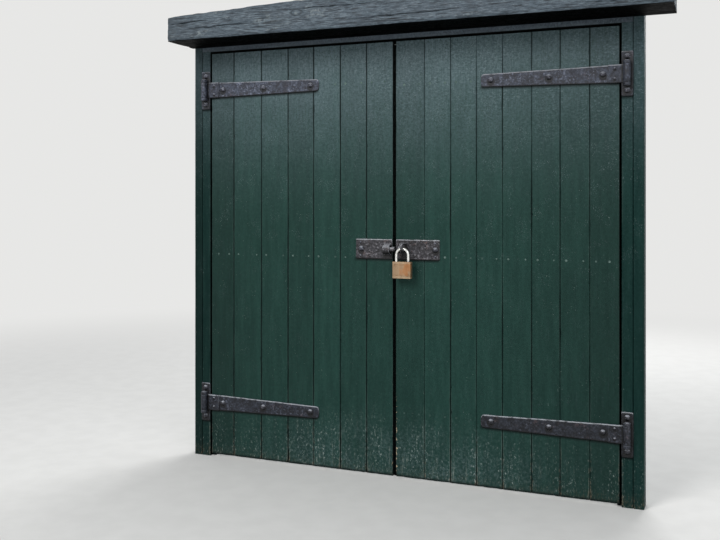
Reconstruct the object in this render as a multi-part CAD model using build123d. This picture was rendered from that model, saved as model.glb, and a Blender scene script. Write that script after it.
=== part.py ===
from build123d import *
import math
import os

# Barn door: a pair of boarded leaves that open outward in a timber frame under a lintel.
# Millimetres. X runs along the doors, Y into the building and Z up. The origin is the middle
# of the frame's front face at floor level. The faces of the leaves lie in that plane too.

# Leaves
LEAF_HEIGHT = 1980.0
LEFT_BOARD_WIDTHS = (125.0, 153.0, 144.0, 135.0, 138.0, 132.0, 129.5)
RIGHT_BOARD_WIDTHS = (136.0, 122.0, 118.0, 116.0, 127.0, 121.0, 123.0, 120.5)
BOARD_THICKNESS = 22.0
BOARD_CHAMFER = 3.5
EDGE_CHAMFER = 1.5
TONGUE_LENGTH = 8.0
TONGUE_THICKNESS = 7.0
TONGUE_SETBACK = 8.0
TONGUE_CLEARANCE = 0.2
FLOOR_CLEARANCE = 12.0
HEAD_CLEARANCE = 12.0
SIDE_CLEARANCE = 8.5
MEETING_GAP = 15.0

# Ledges and braces behind the boards, and the strip behind the meeting gap
LEDGE_HEIGHT = 140.0
LEDGE_THICKNESS = 32.0
LEDGE_STOP_GAP = 16.0
LEDGE_MEETING_INSET = 15.0
BRACE_WIDTH = 140.0
BRACE_INSET = 20.0
STRIP_GAP = 1.5
STRIP_LAP = 28.0
STRIP_THICKNESS = 8.0
STRIP_LIP_SETBACK = 12.0
STRIP_LIP_GAP = 3.0
STRIP_LEDGE_GAP = 3.0
STRIP_HEAD_GAP = 6.0

# Frame
OUTER_POST_WIDTH = 44.0
HANGING_POST_WIDTH = 46.0
FRAME_DEPTH = 75.0
STOP_WIDTH = 20.0
STOP_CLEARANCE = 2.0
HEAD_HEIGHT = 70.0
ARRIS = 2.0
WALL_HOLE_RADIUS = 5.25
WALL_HOLE_DEPTH = 54.0
WALL_HOLE_FROM_FLOOR = 240.0
WALL_HOLE_FROM_TOP = 334.0
WALL_HOLE_COUNT = 4

# Lintel: its height changes along its length, because it is a hewn timber
LINTEL_DEPTH = 230.0
HEAD_SHOWING = 22.0
LINTEL_LEFT_OVERHANG = 8.0
LINTEL_RIGHT_OVERHANG = 126.0
LINTEL_LEFT_HEIGHT = 119.0
LINTEL_SHOULDER_RUN = 503.0
LINTEL_SHOULDER_HEIGHT = 141.0
LINTEL_CROWN_RUN = 1180.0
LINTEL_CROWN_HEIGHT = 164.0
LINTEL_RIGHT_HEIGHT = 160.0
LINTEL_ARRIS = 4.0
LINTEL_SCREW_RISE = 24.0
LINTEL_SCREW_PITCH = 540.0
LINTEL_SCREW_COUNT = 4
LINTEL_SCREW_BITE = 60.0
LINTEL_SCREW_HEAD = 8.0
LINTEL_SCREW_HEIGHT = 6.0

# Strap hinges. A strap is measured from its pin.
HINGE_DROP = {"left": 180.0, "right": 199.0}
HINGE_RISE = {"left": 256.0, "right": 291.0}
PIN_FROM_LEAF = 32.0
PIN_RADIUS = 9.0
PIN_STAND_OUT = 2.0
PIN_CHAMFER = 1.5
EYE_RADIUS = 15.0
EYE_CLEARANCE = 0.1
EYE_PLATE_GAP = 0.7
LUG_GAP = 0.4
LUG_HEIGHT = 14.0
LUG_WEB = 16.0
LUG_CHAMFER = 2.0
HINGE_PLATE_WIDTH = 46.0
HINGE_PLATE_HEIGHT = 186.0
HINGE_PLATE_THICKNESS = 5.0
HINGE_SCREW_SPACING = 140.0
HINGE_SCREW_LENGTH = 45.0
STRAP_LENGTH = 618.0
STRAP_ROOT_HEIGHT = 76.0
STRAP_TIP_HEIGHT = 55.0
STRAP_TIP_RADIUS = 14.0
STRAP_THICKNESS = 5.0
STRAP_PLATE_GAP = 1.5
STRAP_FIRST_BOLT = 98.0
STRAP_MIDDLE_BOLT = 322.0
STRAP_END_BOLT_INSET = 44.0
ROOT_LEAF_LENGTH = 76.0
ROOT_LEAF_THICKNESS = 5.0
RIVET_FROM_PIN = 50.0
RIVET_SPACING = 42.0

# Fasteners
BOLT_RADIUS = 5.0
BOLT_HEAD_RADIUS = 12.5
BOLT_HEAD_HEIGHT = 8.0
BOLT_END = 4.0
NUT_HEIGHT = 8.0
NUT_ACROSS_FLATS = 17.0
SCREW_RADIUS = 4.0
RIVET_RADIUS = 4.0
RIVET_HEAD_RADIUS = 6.5
RIVET_HEAD_HEIGHT = 3.5
NAIL_RADIUS = 1.7
NAIL_HEAD_RADIUS = 3.5
NAIL_HEAD_HEIGHT = 1.5
NAIL_LENGTH = 46.0
PLATE_NAIL_LENGTH = 25.0
NAIL_SET = 0.2
NAIL_INSET = 26.0
NAIL_EDGE_INSET = 40.0
HOLE_CLEARANCE = 0.1

# Lock plates, bolt and staple
LOCK_RISE = 1033.5
MIDDLE_LEDGE_DROP = {"left": 41.5, "right": 31.5}
LOCK_PLATE_HEIGHT = 90.0
LOCK_PLATE_THICKNESS = 4.0
LOCK_PLATE_RADIUS = 2.5
LEFT_PLATE_LENGTH = 177.5
RIGHT_PLATE_LENGTH = 206.0
PLATE_INSET = {"left": 2.5, "right": 2.0}
LOCK_BOLT_FROM_END = {"left": 26.0, "right": 20.0}
PLATE_NAIL_FROM_END = {"left": 22.0, "right": 21.0}
PLATE_NAIL_SPACING = 60.0
GUIDE_LENGTH = 31.0
GUIDE_FROM_PLATE_END = 5.5
GUIDE_INNER_RADIUS = 18.0
GUIDE_REACH = 27.0
GUIDE_THICKNESS = 4.5
GUIDE_FOOT = 4.5
KEEP_LENGTH = 10.0
KEEP_FROM_PLATE_END = 18.0
KEEP_CLEARANCE = 1.2
KEEP_THICKNESS = 3.5
KEEP_FOOT = 10.0
SLIDE_RADIUS = 12.0
SLIDE_CLEARANCE = 0.3
SLIDE_LENGTH = 60.0
SLIDE_CHAMFER = 2.5
SLIDE_LEAF_GAP = 2.0
SLIDE_THROW = 36.0
SLIDE_HOLE_RADIUS = 6.4
SLIDE_HOLE_FROM_TIP = 18.5
STAPLE_RADIUS = 5.0
STAPLE_LEG_SPACING = 31.0
STAPLE_REACH = 45.0
STAPLE_RISE = 10.5

# Padlock
BODY_WIDTH = 86.0
BODY_HEIGHT = 74.0
BODY_THICKNESS = 27.0
BODY_ROUNDING = 3.0
SHACKLE_RADIUS = 5.5
SHACKLE_SPACING = 57.0
SHACKLE_SHOWING = 64.0
SHACKLE_OFF_DOOR = 43.5
SHACKLE_STAPLE_GAP = 0.3
SHACKLE_CLEARANCE = 0.1
LONG_LEG_DEPTH = 56.0
SHORT_LEG_DEPTH = 18.0
BORE_END_GAP = 1.0
NOTCH_DEPTH = 3.0
LOCKING_PIN_DROP = 10.0
LOCKING_PIN_RADIUS = 4.0
LOCKING_PIN_CLEARANCE = 0.15
LOCKING_PIN_GAP = 0.4
CYLINDER_RADIUS = 8.5
CYLINDER_CLEARANCE = 0.1
CYLINDER_TOP_DROP = 16.0
CAM_TOP_DROP = 5.0
CAM_LONG = 8.0
CAM_SHORT = 5.6
KEYWAY_WIDTH = 2.0
KEYWAY_HEIGHT = 9.0
KEYWAY_DEPTH = 26.0

# Places that follow from the sizes
SIDES = {"left": -1, "right": 1}
BOARD_WIDTHS = {"left": LEFT_BOARD_WIDTHS, "right": RIGHT_BOARD_WIDTHS}
leaf_width = {side: sum(widths) for side, widths in BOARD_WIDTHS.items()}
opening_half = (sum(leaf_width.values()) + MEETING_GAP + 2 * SIDE_CLEARANCE) / 2
post_joint = opening_half + HANGING_POST_WIDTH
frame_half = post_joint + OUTER_POST_WIDTH
stop_half = opening_half - STOP_WIDTH
leaf_outer = opening_half - SIDE_CLEARANCE
meeting_edge = {"left": leaf_width["left"] - leaf_outer, "right": leaf_outer - leaf_width["right"]}
leaf_bottom = FLOOR_CLEARANCE
leaf_top = leaf_bottom + LEAF_HEIGHT
head_underside = leaf_top + HEAD_CLEARANCE
frame_top = head_underside + HEAD_HEIGHT
rebate_depth = BOARD_THICKNESS + STOP_CLEARANCE
head_stop_bottom = head_underside - STOP_WIDTH
lintel_underside = head_underside + HEAD_SHOWING
leaf_back = BOARD_THICKNESS + LEDGE_THICKNESS
lock_z = leaf_bottom + LOCK_RISE
pin_y = -(HINGE_PLATE_THICKNESS + EYE_PLATE_GAP + EYE_RADIUS)
pin_x = {side: sign * (leaf_outer + PIN_FROM_LEAF) for side, sign in SIDES.items()}
strap_bolts = (STRAP_FIRST_BOLT, STRAP_MIDDLE_BOLT, STRAP_LENGTH - STRAP_END_BOLT_INSET)
wall_hole_span = frame_top - WALL_HOLE_FROM_TOP - WALL_HOLE_FROM_FLOOR
wall_hole_zs = [
    WALL_HOLE_FROM_FLOOR + wall_hole_span * i / (WALL_HOLE_COUNT - 1)
    for i in range(WALL_HOLE_COUNT)
]
strip_left = meeting_edge["left"] + STRIP_GAP
strip_right = meeting_edge["right"] + STRIP_LAP
ledge_outer = stop_half - LEDGE_STOP_GAP
ledge_inner = {
    "left": meeting_edge["left"] - LEDGE_MEETING_INSET,
    "right": strip_right + STRIP_LEDGE_GAP,
}
hinge_z = {
    side: {"lower": leaf_bottom + HINGE_RISE[side], "upper": leaf_top - HINGE_DROP[side]}
    for side in SIDES
}
ledge_z = {
    side: {
        "bottom": hinge_z[side]["lower"],
        "middle": lock_z - MIDDLE_LEDGE_DROP[side],
        "top": hinge_z[side]["upper"],
    }
    for side in SIDES
}

# The lock stands on the plates. Drawn back, the bolt's tip stops just short of the right plate,
# so that either leaf can open. Shot, it goes through the keep.
plate_start = {
    "left": meeting_edge["left"] - PLATE_INSET["left"],
    "right": meeting_edge["right"] + PLATE_INSET["right"],
}
plate_end = {
    "left": plate_start["left"] - LEFT_PLATE_LENGTH,
    "right": plate_start["right"] + RIGHT_PLATE_LENGTH,
}
slide_y = -(LOCK_PLATE_THICKNESS + SLIDE_CLEARANCE + SLIDE_RADIUS)
slide_tip = plate_start["right"] - SLIDE_LEAF_GAP
guide_right = plate_start["left"] - GUIDE_FROM_PLATE_END
staple_z = lock_z + STAPLE_RISE
arch_radius = SHACKLE_SPACING / 2
padlock_x = slide_tip - SLIDE_HOLE_FROM_TIP + SLIDE_THROW + arch_radius
shackle_top = (
    staple_z - STAPLE_LEG_SPACING / 2 + STAPLE_RADIUS + SHACKLE_STAPLE_GAP + SHACKLE_RADIUS
)
arch_z = shackle_top - arch_radius
body_top = shackle_top + SHACKLE_RADIUS - SHACKLE_SHOWING
body_bottom = body_top - BODY_HEIGHT
locking_pin_z = body_top - LOCKING_PIN_DROP

nodes = {}


def block(x, y, z):
    """A box between two values along each axis, given in either order."""
    lows = [min(pair) for pair in (x, y, z)]
    sizes = [abs(pair[1] - pair[0]) for pair in (x, y, z)]
    return Pos(*lows) * Box(*sizes, align=(Align.MIN, Align.MIN, Align.MIN))


def rod(radius, start, end):
    """A round bar from one point to another, along one of the axes."""
    direction = Vector(*end) - Vector(*start)
    return Plane(origin=start, z_dir=direction) * Cylinder(
        radius, direction.length, align=(Align.CENTER, Align.CENTER, Align.MIN)
    )


def slab(sketch, y_back, y_front):
    """A sketch in X and Z, given thickness from y_back to y_front, which is nearer the viewer."""
    return Pos(0, y_back, 0) * extrude(Plane.XZ * sketch, amount=y_back - y_front, dir=(0, -1, 0))


def group(pieces):
    """Several separate solids in one node."""
    return Compound(children=[solid for piece in pieces for solid in piece.solids()])


def domed(head_radius, head_height, shank_radius, shank_length):
    """A dome-headed fastener along +Y, with the underside of its head at the origin."""
    ball_radius = (head_radius**2 + head_height**2) / (2 * head_height)
    ball = Pos(0, ball_radius - head_height, 0) * Sphere(ball_radius)
    reach = (-2 * head_radius, 2 * head_radius)
    head = ball & block(reach, (-head_height, 0), reach)
    return head + rod(shank_radius, (0, -head_height / 2, 0), (0, shank_length, 0))


def hexagon(across_flats, x, z, y_start, y_end, bore_radius=0.0):
    """A hexagon along Y, with a hole where it is a nut."""
    sketch = RegularPolygon(across_flats / 2, 6, major_radius=False)
    if bore_radius:
        sketch -= Circle(bore_radius)
    return Pos(x, 0, z) * slab(sketch, y_end, y_start)


def make_posts():
    for side, sign in SIDES.items():
        joint, outside = sign * post_joint, sign * frame_half
        holes = [
            rod(WALL_HOLE_RADIUS, (0, WALL_HOLE_DEPTH, z), (2 * outside, WALL_HOLE_DEPTH, z))
            for z in wall_hole_zs
        ]
        outer = Polygon(
            (joint + sign * ARRIS, 0),
            (outside - sign * ARRIS, 0),
            (outside, ARRIS),
            (outside, FRAME_DEPTH),
            (joint, FRAME_DEPTH),
            (joint, ARRIS),
            align=None,
        )
        nodes[side + "_outer_post"] = extrude(outer, amount=frame_top, dir=(0, 0, 1)) - holes

        face, stop = sign * opening_half, sign * stop_half
        hanging = Polygon(
            (face + sign * ARRIS, 0),
            (joint - sign * ARRIS, 0),
            (joint, ARRIS),
            (joint, FRAME_DEPTH),
            (stop, FRAME_DEPTH),
            (stop, rebate_depth),
            (face, rebate_depth),
            (face, ARRIS),
            align=None,
        )
        screw_holes = [
            rod(SCREW_RADIUS + HOLE_CLEARANCE, (x, -1, z), (x, HINGE_SCREW_LENGTH, z))
            for x, z in hinge_screw_places(side)
        ]
        post = extrude(hanging, amount=head_underside, dir=(0, 0, 1))
        nodes[side + "_hanging_post"] = post - holes - screw_holes


def hinge_screw_places(side):
    return [
        (pin_x[side], z + end * HINGE_SCREW_SPACING / 2)
        for z in hinge_z[side].values()
        for end in (-1, 1)
    ]


def lintel_screw_xs():
    first = -LINTEL_SCREW_PITCH * (LINTEL_SCREW_COUNT - 1) / 2
    return [first + i * LINTEL_SCREW_PITCH for i in range(LINTEL_SCREW_COUNT)]


def make_head_and_lintel():
    z_screw = lintel_underside + LINTEL_SCREW_RISE
    holes = [
        rod(
            BOLT_RADIUS + HOLE_CLEARANCE,
            (x, -LINTEL_SCREW_BITE - 1, z_screw),
            (x, FRAME_DEPTH + 1, z_screw),
        )
        for x in lintel_screw_xs()
    ]
    rail = block((-post_joint, post_joint), (0, FRAME_DEPTH), (head_underside, frame_top))
    rail = chamfer(rail.edges().filter_by(Axis.X).group_by(Axis.Y)[0], ARRIS)
    stop = block(
        (-stop_half, stop_half), (rebate_depth, FRAME_DEPTH), (head_stop_bottom, head_underside)
    )
    nodes["head_rail"] = rail + stop - holes

    left = -frame_half - LINTEL_LEFT_OVERHANG
    right = frame_half + LINTEL_RIGHT_OVERHANG
    outline = Polygon(
        (left, lintel_underside),
        (right, lintel_underside),
        (right, lintel_underside + LINTEL_RIGHT_HEIGHT),
        (left + LINTEL_CROWN_RUN, lintel_underside + LINTEL_CROWN_HEIGHT),
        (left + LINTEL_SHOULDER_RUN, lintel_underside + LINTEL_SHOULDER_HEIGHT),
        (left, lintel_underside + LINTEL_LEFT_HEIGHT),
        align=None,
    )
    beam = slab(outline, 0, -LINTEL_DEPTH)
    front_edges = beam.edges().group_by(Axis.Y)[0]
    nodes["lintel_beam"] = chamfer(front_edges, LINTEL_ARRIS) - holes
    nodes["lintel_screws"] = group(
        rod(BOLT_RADIUS, (x, -LINTEL_SCREW_BITE, z_screw), (x, FRAME_DEPTH, z_screw))
        + hexagon(
            2 * LINTEL_SCREW_HEAD, x, z_screw, FRAME_DEPTH, FRAME_DEPTH + LINTEL_SCREW_HEIGHT
        )
        for x in lintel_screw_xs()
    )


def board_edges(side):
    """The X of each joint between boards, from the left edge of the leaf to its right edge."""
    edges = [-leaf_outer if side == "left" else meeting_edge["right"]]
    for width in BOARD_WIDTHS[side]:
        edges.append(edges[-1] + width)
    return edges


def strap_bolt_places(side):
    return [
        (pin_x[side] - SIDES[side] * run, z)
        for z in hinge_z[side].values()
        for run in strap_bolts
    ]


def lock_bolt_place(side):
    return plate_end[side] - SIDES[side] * LOCK_BOLT_FROM_END[side], lock_z


def staple_leg_places():
    return [(padlock_x, staple_z + end * STAPLE_LEG_SPACING / 2) for end in (-1, 1)]


def board_nail_places(side):
    """Two nails in each board at each ledge, set in from the joints and from the leaf's edges."""
    edges = board_edges(side)
    last = len(edges) - 2
    places = []
    for z in ledge_z[side].values():
        for i, (low, high) in enumerate(zip(edges, edges[1:])):
            places.append((low + (NAIL_EDGE_INSET if i == 0 else NAIL_INSET), z))
            places.append((high - (NAIL_EDGE_INSET if i == last else NAIL_INSET), z))
    return places


def plate_nail_places(side):
    x = plate_end[side] - SIDES[side] * PLATE_NAIL_FROM_END[side]
    return [(x, lock_z + end * PLATE_NAIL_SPACING / 2) for end in (-1, 1)]


def nails(side):
    """Where each nail is, where the top of its head is, and its length."""
    plate_face = -LOCK_PLATE_THICKNESS - NAIL_HEAD_HEIGHT
    in_boards = [(x, z, NAIL_SET, NAIL_LENGTH) for x, z in board_nail_places(side)]
    in_plates = [(x, z, plate_face, PLATE_NAIL_LENGTH) for x, z in plate_nail_places(side)]
    return in_boards + in_plates


def nail(x, z, y_face, length):
    """A nail driven along +Y, with the top of its head at y_face."""
    neck = y_face + NAIL_HEAD_HEIGHT
    head = rod(NAIL_HEAD_RADIUS, (x, y_face, z), (x, neck, z))
    return head + rod(NAIL_RADIUS, (x, neck, z), (x, y_face + length, z))


def leaf_holes(side):
    """What is bored through the boards and the ledges, each with its X and its radius."""
    through = leaf_back + 1
    holes = []
    bolts = strap_bolt_places(side) + [lock_bolt_place(side)]
    if side == "right":
        bolts += staple_leg_places()
    for x, z in bolts:
        radius = BOLT_RADIUS + HOLE_CLEARANCE
        holes.append((x, radius, rod(radius, (x, -1, z), (x, through, z))))
    seat_radius = NAIL_HEAD_RADIUS + HOLE_CLEARANCE
    for x, z, y_face, length in nails(side):
        end = y_face + length + HOLE_CLEARANCE
        hole = rod(NAIL_RADIUS + HOLE_CLEARANCE, (x, -1, z), (x, end, z))
        if y_face > 0:
            hole += rod(seat_radius, (x, -1, z), (x, y_face + NAIL_HEAD_HEIGHT, z))
        holes.append((x, seat_radius, hole))
    return holes


def cut_holes(piece, x_low, x_high, holes):
    reached = [hole for x, radius, hole in holes if x_low < x + radius and x - radius < x_high]
    return piece - reached if reached else piece


def make_boards(side, holes):
    """Boards with a V at each joint, and a tongue on each that fits a groove in the next."""
    edges = board_edges(side)
    last = len(edges) - 2
    tongue_front = TONGUE_SETBACK
    tongue_back = TONGUE_SETBACK + TONGUE_THICKNESS
    groove_front = tongue_front - TONGUE_CLEARANCE
    groove_back = tongue_back + TONGUE_CLEARANCE
    groove_length = TONGUE_LENGTH + TONGUE_CLEARANCE
    for i, (low, high) in enumerate(zip(edges, edges[1:])):
        low_chamfer = EDGE_CHAMFER if i == 0 else BOARD_CHAMFER
        high_chamfer = EDGE_CHAMFER if i == last else BOARD_CHAMFER
        tongue = [
            (high, tongue_front),
            (high + TONGUE_LENGTH, tongue_front),
            (high + TONGUE_LENGTH, tongue_back),
            (high, tongue_back),
        ]
        groove = [
            (low, groove_back),
            (low + groove_length, groove_back),
            (low + groove_length, groove_front),
            (low, groove_front),
        ]
        outline = Polygon(
            (low + low_chamfer, 0),
            (high - high_chamfer, 0),
            (high, high_chamfer),
            *(tongue if i != last else []),
            (high, BOARD_THICKNESS),
            (low, BOARD_THICKNESS),
            *(groove if i != 0 else []),
            (low, low_chamfer),
            align=None,
        )
        board = Pos(0, 0, leaf_bottom) * extrude(outline, amount=LEAF_HEIGHT, dir=(0, 0, 1))
        reach = high + (TONGUE_LENGTH if i != last else 0)
        nodes[f"{side}_board_{i + 1}"] = cut_holes(board, low, reach, holes)


def make_ledges_and_braces(side, holes):
    sign = SIDES[side]
    outer, inner = sign * ledge_outer, ledge_inner[side]
    depth = (BOARD_THICKNESS, leaf_back)
    for name, z in ledge_z[side].items():
        ledge = block((outer, inner), depth, (z - LEDGE_HEIGHT / 2, z + LEDGE_HEIGHT / 2))
        own = [hole for hole in holes if abs(hole[2].center().Z - z) < LEDGE_HEIGHT / 2]
        nodes[f"{side}_ledge_{name}"] = cut_holes(ledge, min(outer, inner), max(outer, inner), own)
    for name, below, above in (("lower", "bottom", "middle"), ("upper", "middle", "top")):
        foot_z = ledge_z[side][below] + LEDGE_HEIGHT / 2
        top_z = ledge_z[side][above] - LEDGE_HEIGHT / 2
        foot = outer - sign * BRACE_INSET
        top = inner + sign * BRACE_INSET
        outline = Polygon(
            (foot, foot_z),
            (foot - sign * BRACE_WIDTH, foot_z),
            (top, top_z),
            (top + sign * BRACE_WIDTH, top_z),
            align=None,
        )
        nodes[f"{side}_brace_{name}"] = slab(outline, leaf_back, BOARD_THICKNESS)


def make_meeting_strip():
    """A strip on the right leaf's back, with a lip that stands in the gap between the leaves."""
    height = (leaf_bottom, head_stop_bottom - STRIP_HEAD_GAP)
    back = BOARD_THICKNESS + STRIP_THICKNESS
    strip = block((strip_left, strip_right), (BOARD_THICKNESS, back), height)
    lip = (meeting_edge["left"] + STRIP_LIP_GAP, meeting_edge["right"])
    nodes["meeting_strip"] = strip + block(lip, (STRIP_LIP_SETBACK, BOARD_THICKNESS), height)


def hinge_plate():
    """The plate on the post, with a lug above and below the strap's eye. The pin is at X zero."""
    plate = block(
        (-HINGE_PLATE_WIDTH / 2, HINGE_PLATE_WIDTH / 2),
        (-HINGE_PLATE_THICKNESS, 0),
        (-HINGE_PLATE_HEIGHT / 2, HINGE_PLATE_HEIGHT / 2),
    )
    for end in (-1, 1):
        near = end * (STRAP_ROOT_HEIGHT / 2 + LUG_GAP)
        far = near + end * LUG_HEIGHT
        lug = rod(EYE_RADIUS, (0, pin_y, near), (0, pin_y, far))
        lug = chamfer(lug.edges().group_by(Axis.Z)[0 if end < 0 else -1], LUG_CHAMFER)
        plate += lug + block((-LUG_WEB / 2, LUG_WEB / 2), (pin_y, 0), (near, far))
        z = end * HINGE_SCREW_SPACING / 2
        plate -= rod(SCREW_RADIUS + HOLE_CLEARANCE, (0, -HINGE_PLATE_THICKNESS - 1, z), (0, 1, z))
    reach = HINGE_PLATE_HEIGHT / 2
    return plate - rod(PIN_RADIUS + HOLE_CLEARANCE / 2, (0, pin_y, -reach), (0, pin_y, reach))


def hinge_strap():
    """A strap running to +X from its pin: the tapering strap, its riveted root leaf and its eye."""
    root, tip = STRAP_ROOT_HEIGHT / 2, STRAP_TIP_HEIGHT / 2
    start = HINGE_PLATE_WIDTH / 2 + STRAP_PLATE_GAP
    start_half = root + (tip - root) * start / STRAP_LENGTH
    outline = Polygon(
        (start, -start_half), (STRAP_LENGTH, -tip), (STRAP_LENGTH, tip), (start, start_half),
        align=None,
    )
    outline = fillet(outline.vertices().sort_by(Axis.X)[-2:], STRAP_TIP_RADIUS)
    strap = slab(outline, 0, -STRAP_THICKNESS)
    leaf_rear = -HINGE_PLATE_THICKNESS - EYE_PLATE_GAP
    leaf_front = leaf_rear - ROOT_LEAF_THICKNESS
    strap += block((start, ROOT_LEAF_LENGTH), (leaf_front, -STRAP_THICKNESS), (-root, root))
    strap += block((0, start), (leaf_front, leaf_rear), (-root, root))
    strap += rod(EYE_RADIUS, (0, pin_y, -root), (0, pin_y, root))
    strap -= rod(PIN_RADIUS + EYE_CLEARANCE, (0, pin_y, -root - 1), (0, pin_y, root + 1))
    for run in strap_bolts:
        strap -= rod(BOLT_RADIUS + HOLE_CLEARANCE, (run, leaf_front - 1, 0), (run, 1, 0))
    for z in (-RIVET_SPACING / 2, RIVET_SPACING / 2):
        start_point, end_point = (RIVET_FROM_PIN, leaf_front - 1, z), (RIVET_FROM_PIN, 1, z)
        strap -= rod(RIVET_RADIUS + HOLE_CLEARANCE / 2, start_point, end_point)
    return strap


def make_hinges():
    plate, strap = hinge_plate(), hinge_strap()
    pins, screws = [], []
    pin_half = STRAP_ROOT_HEIGHT / 2 + LUG_GAP + LUG_HEIGHT + PIN_STAND_OUT
    pin = rod(PIN_RADIUS, (0, pin_y, -pin_half), (0, pin_y, pin_half))
    pin = chamfer(pin.edges().filter_by(GeomType.CIRCLE), PIN_CHAMFER)
    screw = domed(
        BOLT_HEAD_RADIUS,
        BOLT_HEAD_HEIGHT,
        SCREW_RADIUS,
        HINGE_PLATE_THICKNESS + HINGE_SCREW_LENGTH - HOLE_CLEARANCE,
    )
    for side, sign in SIDES.items():
        own_strap = strap if side == "left" else mirror(strap, about=Plane.YZ)
        for level, z in hinge_z[side].items():
            place = Pos(pin_x[side], 0, z)
            nodes[f"{side}_{level}_hinge_plate"] = place * plate
            nodes[f"{side}_{level}_hinge_strap"] = place * own_strap
            pins.append(place * pin)
        screws += [Pos(x, -HINGE_PLATE_THICKNESS, z) * screw for x, z in hinge_screw_places(side)]
    nodes["hinge_pins"] = group(pins)
    nodes["hinge_plate_screws"] = group(screws)


def make_leaf_fasteners(side):
    """Bolts with their nuts, the rivets at the straps' roots, and the nails."""
    nut_end = leaf_back + NUT_HEIGHT
    strap_bolt = domed(
        BOLT_HEAD_RADIUS, BOLT_HEAD_HEIGHT, BOLT_RADIUS, STRAP_THICKNESS + nut_end + BOLT_END
    )
    lock_bolt = domed(
        BOLT_HEAD_RADIUS, BOLT_HEAD_HEIGHT, BOLT_RADIUS, LOCK_PLATE_THICKNESS + nut_end + BOLT_END
    )
    bolts = [Pos(x, -STRAP_THICKNESS, z) * strap_bolt for x, z in strap_bolt_places(side)]
    x, z = lock_bolt_place(side)
    bolts.append(Pos(x, -LOCK_PLATE_THICKNESS, z) * lock_bolt)
    nodes[side + "_coach_bolts"] = group(bolts)

    nut_places = strap_bolt_places(side) + [lock_bolt_place(side)]
    if side == "right":
        nut_places += staple_leg_places()
    bore = BOLT_RADIUS + HOLE_CLEARANCE / 2
    nodes[side + "_bolt_nuts"] = group(
        hexagon(NUT_ACROSS_FLATS, x, z, leaf_back, nut_end, bore) for x, z in nut_places
    )

    rivet_face = -HINGE_PLATE_THICKNESS - EYE_PLATE_GAP - ROOT_LEAF_THICKNESS
    rivet = domed(RIVET_HEAD_RADIUS, RIVET_HEAD_HEIGHT, RIVET_RADIUS, -rivet_face)
    rivet_x = pin_x[side] - SIDES[side] * RIVET_FROM_PIN
    nodes[side + "_strap_rivets"] = group(
        Pos(rivet_x, rivet_face, z + end * RIVET_SPACING / 2) * rivet
        for z in hinge_z[side].values()
        for end in (-1, 1)
    )

    nodes[side + "_nails"] = group(nail(*values) for values in nails(side))


def bolt_loop(x_low, x_high, inner, reach, thickness, foot):
    """A strap bent over the bolt, with a foot above and below, standing on a lock plate."""
    outer = inner + thickness
    seat = -LOCK_PLATE_THICKNESS
    centre_y = seat - reach + inner
    tall = (lock_z - outer, lock_z + outer)
    around = rod(outer, (x_low, centre_y, lock_z), (x_high, centre_y, lock_z))
    loop = around & block((x_low, x_high), (centre_y - outer, centre_y), tall)
    loop += block((x_low, x_high), (centre_y, seat), tall)
    foot_end = outer + foot
    feet = (lock_z - foot_end, lock_z + foot_end)
    loop += block((x_low, x_high), (seat - thickness, seat), feet)
    loop -= rod(inner, (x_low - 1, centre_y, lock_z), (x_high + 1, centre_y, lock_z))
    return loop - block((x_low - 1, x_high + 1), (centre_y, seat), (lock_z - inner, lock_z + inner))


def make_lock_plates():
    for side, sign in SIDES.items():
        start, end = plate_start[side], plate_end[side]
        plate = block(
            (start, end),
            (-LOCK_PLATE_THICKNESS, 0),
            (lock_z - LOCK_PLATE_HEIGHT / 2, lock_z + LOCK_PLATE_HEIGHT / 2),
        )
        plate = fillet(plate.edges().filter_by(Axis.Y), LOCK_PLATE_RADIUS)
        if side == "left":
            plate += bolt_loop(
                guide_right - GUIDE_LENGTH,
                guide_right,
                GUIDE_INNER_RADIUS,
                GUIDE_REACH,
                GUIDE_THICKNESS,
                GUIDE_FOOT,
            )
        bolts = [lock_bolt_place(side)] + (staple_leg_places() if side == "right" else [])
        for x, z in bolts:
            plate -= rod(BOLT_RADIUS + HOLE_CLEARANCE, (x, -LOCK_PLATE_THICKNESS - 1, z), (x, 1, z))
        for x, z in plate_nail_places(side):
            plate -= rod(NAIL_RADIUS + HOLE_CLEARANCE, (x, -LOCK_PLATE_THICKNESS - 1, z), (x, 1, z))
        nodes[side + "_lock_plate"] = plate
    keep_start = plate_start["right"] + KEEP_FROM_PLATE_END
    keep_inner = SLIDE_RADIUS + KEEP_CLEARANCE
    nodes["bolt_keep"] = bolt_loop(
        keep_start,
        keep_start + KEEP_LENGTH,
        keep_inner,
        SLIDE_CLEARANCE + SLIDE_RADIUS + keep_inner,
        KEEP_THICKNESS,
        KEEP_FOOT,
    )


def make_slide_bolt():
    """A short round bolt, with a hole across it that the shackle's leg goes down when it is shot."""
    tail = slide_tip - SLIDE_LENGTH
    bar = rod(SLIDE_RADIUS, (tail, slide_y, lock_z), (slide_tip, slide_y, lock_z))
    bar = chamfer(bar.edges().filter_by(GeomType.CIRCLE), SLIDE_CHAMFER)
    hole_x = slide_tip - SLIDE_HOLE_FROM_TIP
    reach = SLIDE_RADIUS + 1
    hole = rod(SLIDE_HOLE_RADIUS, (hole_x, slide_y, lock_z - reach), (hole_x, slide_y, lock_z + reach))
    nodes["slide_bolt"] = bar - hole


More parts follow.
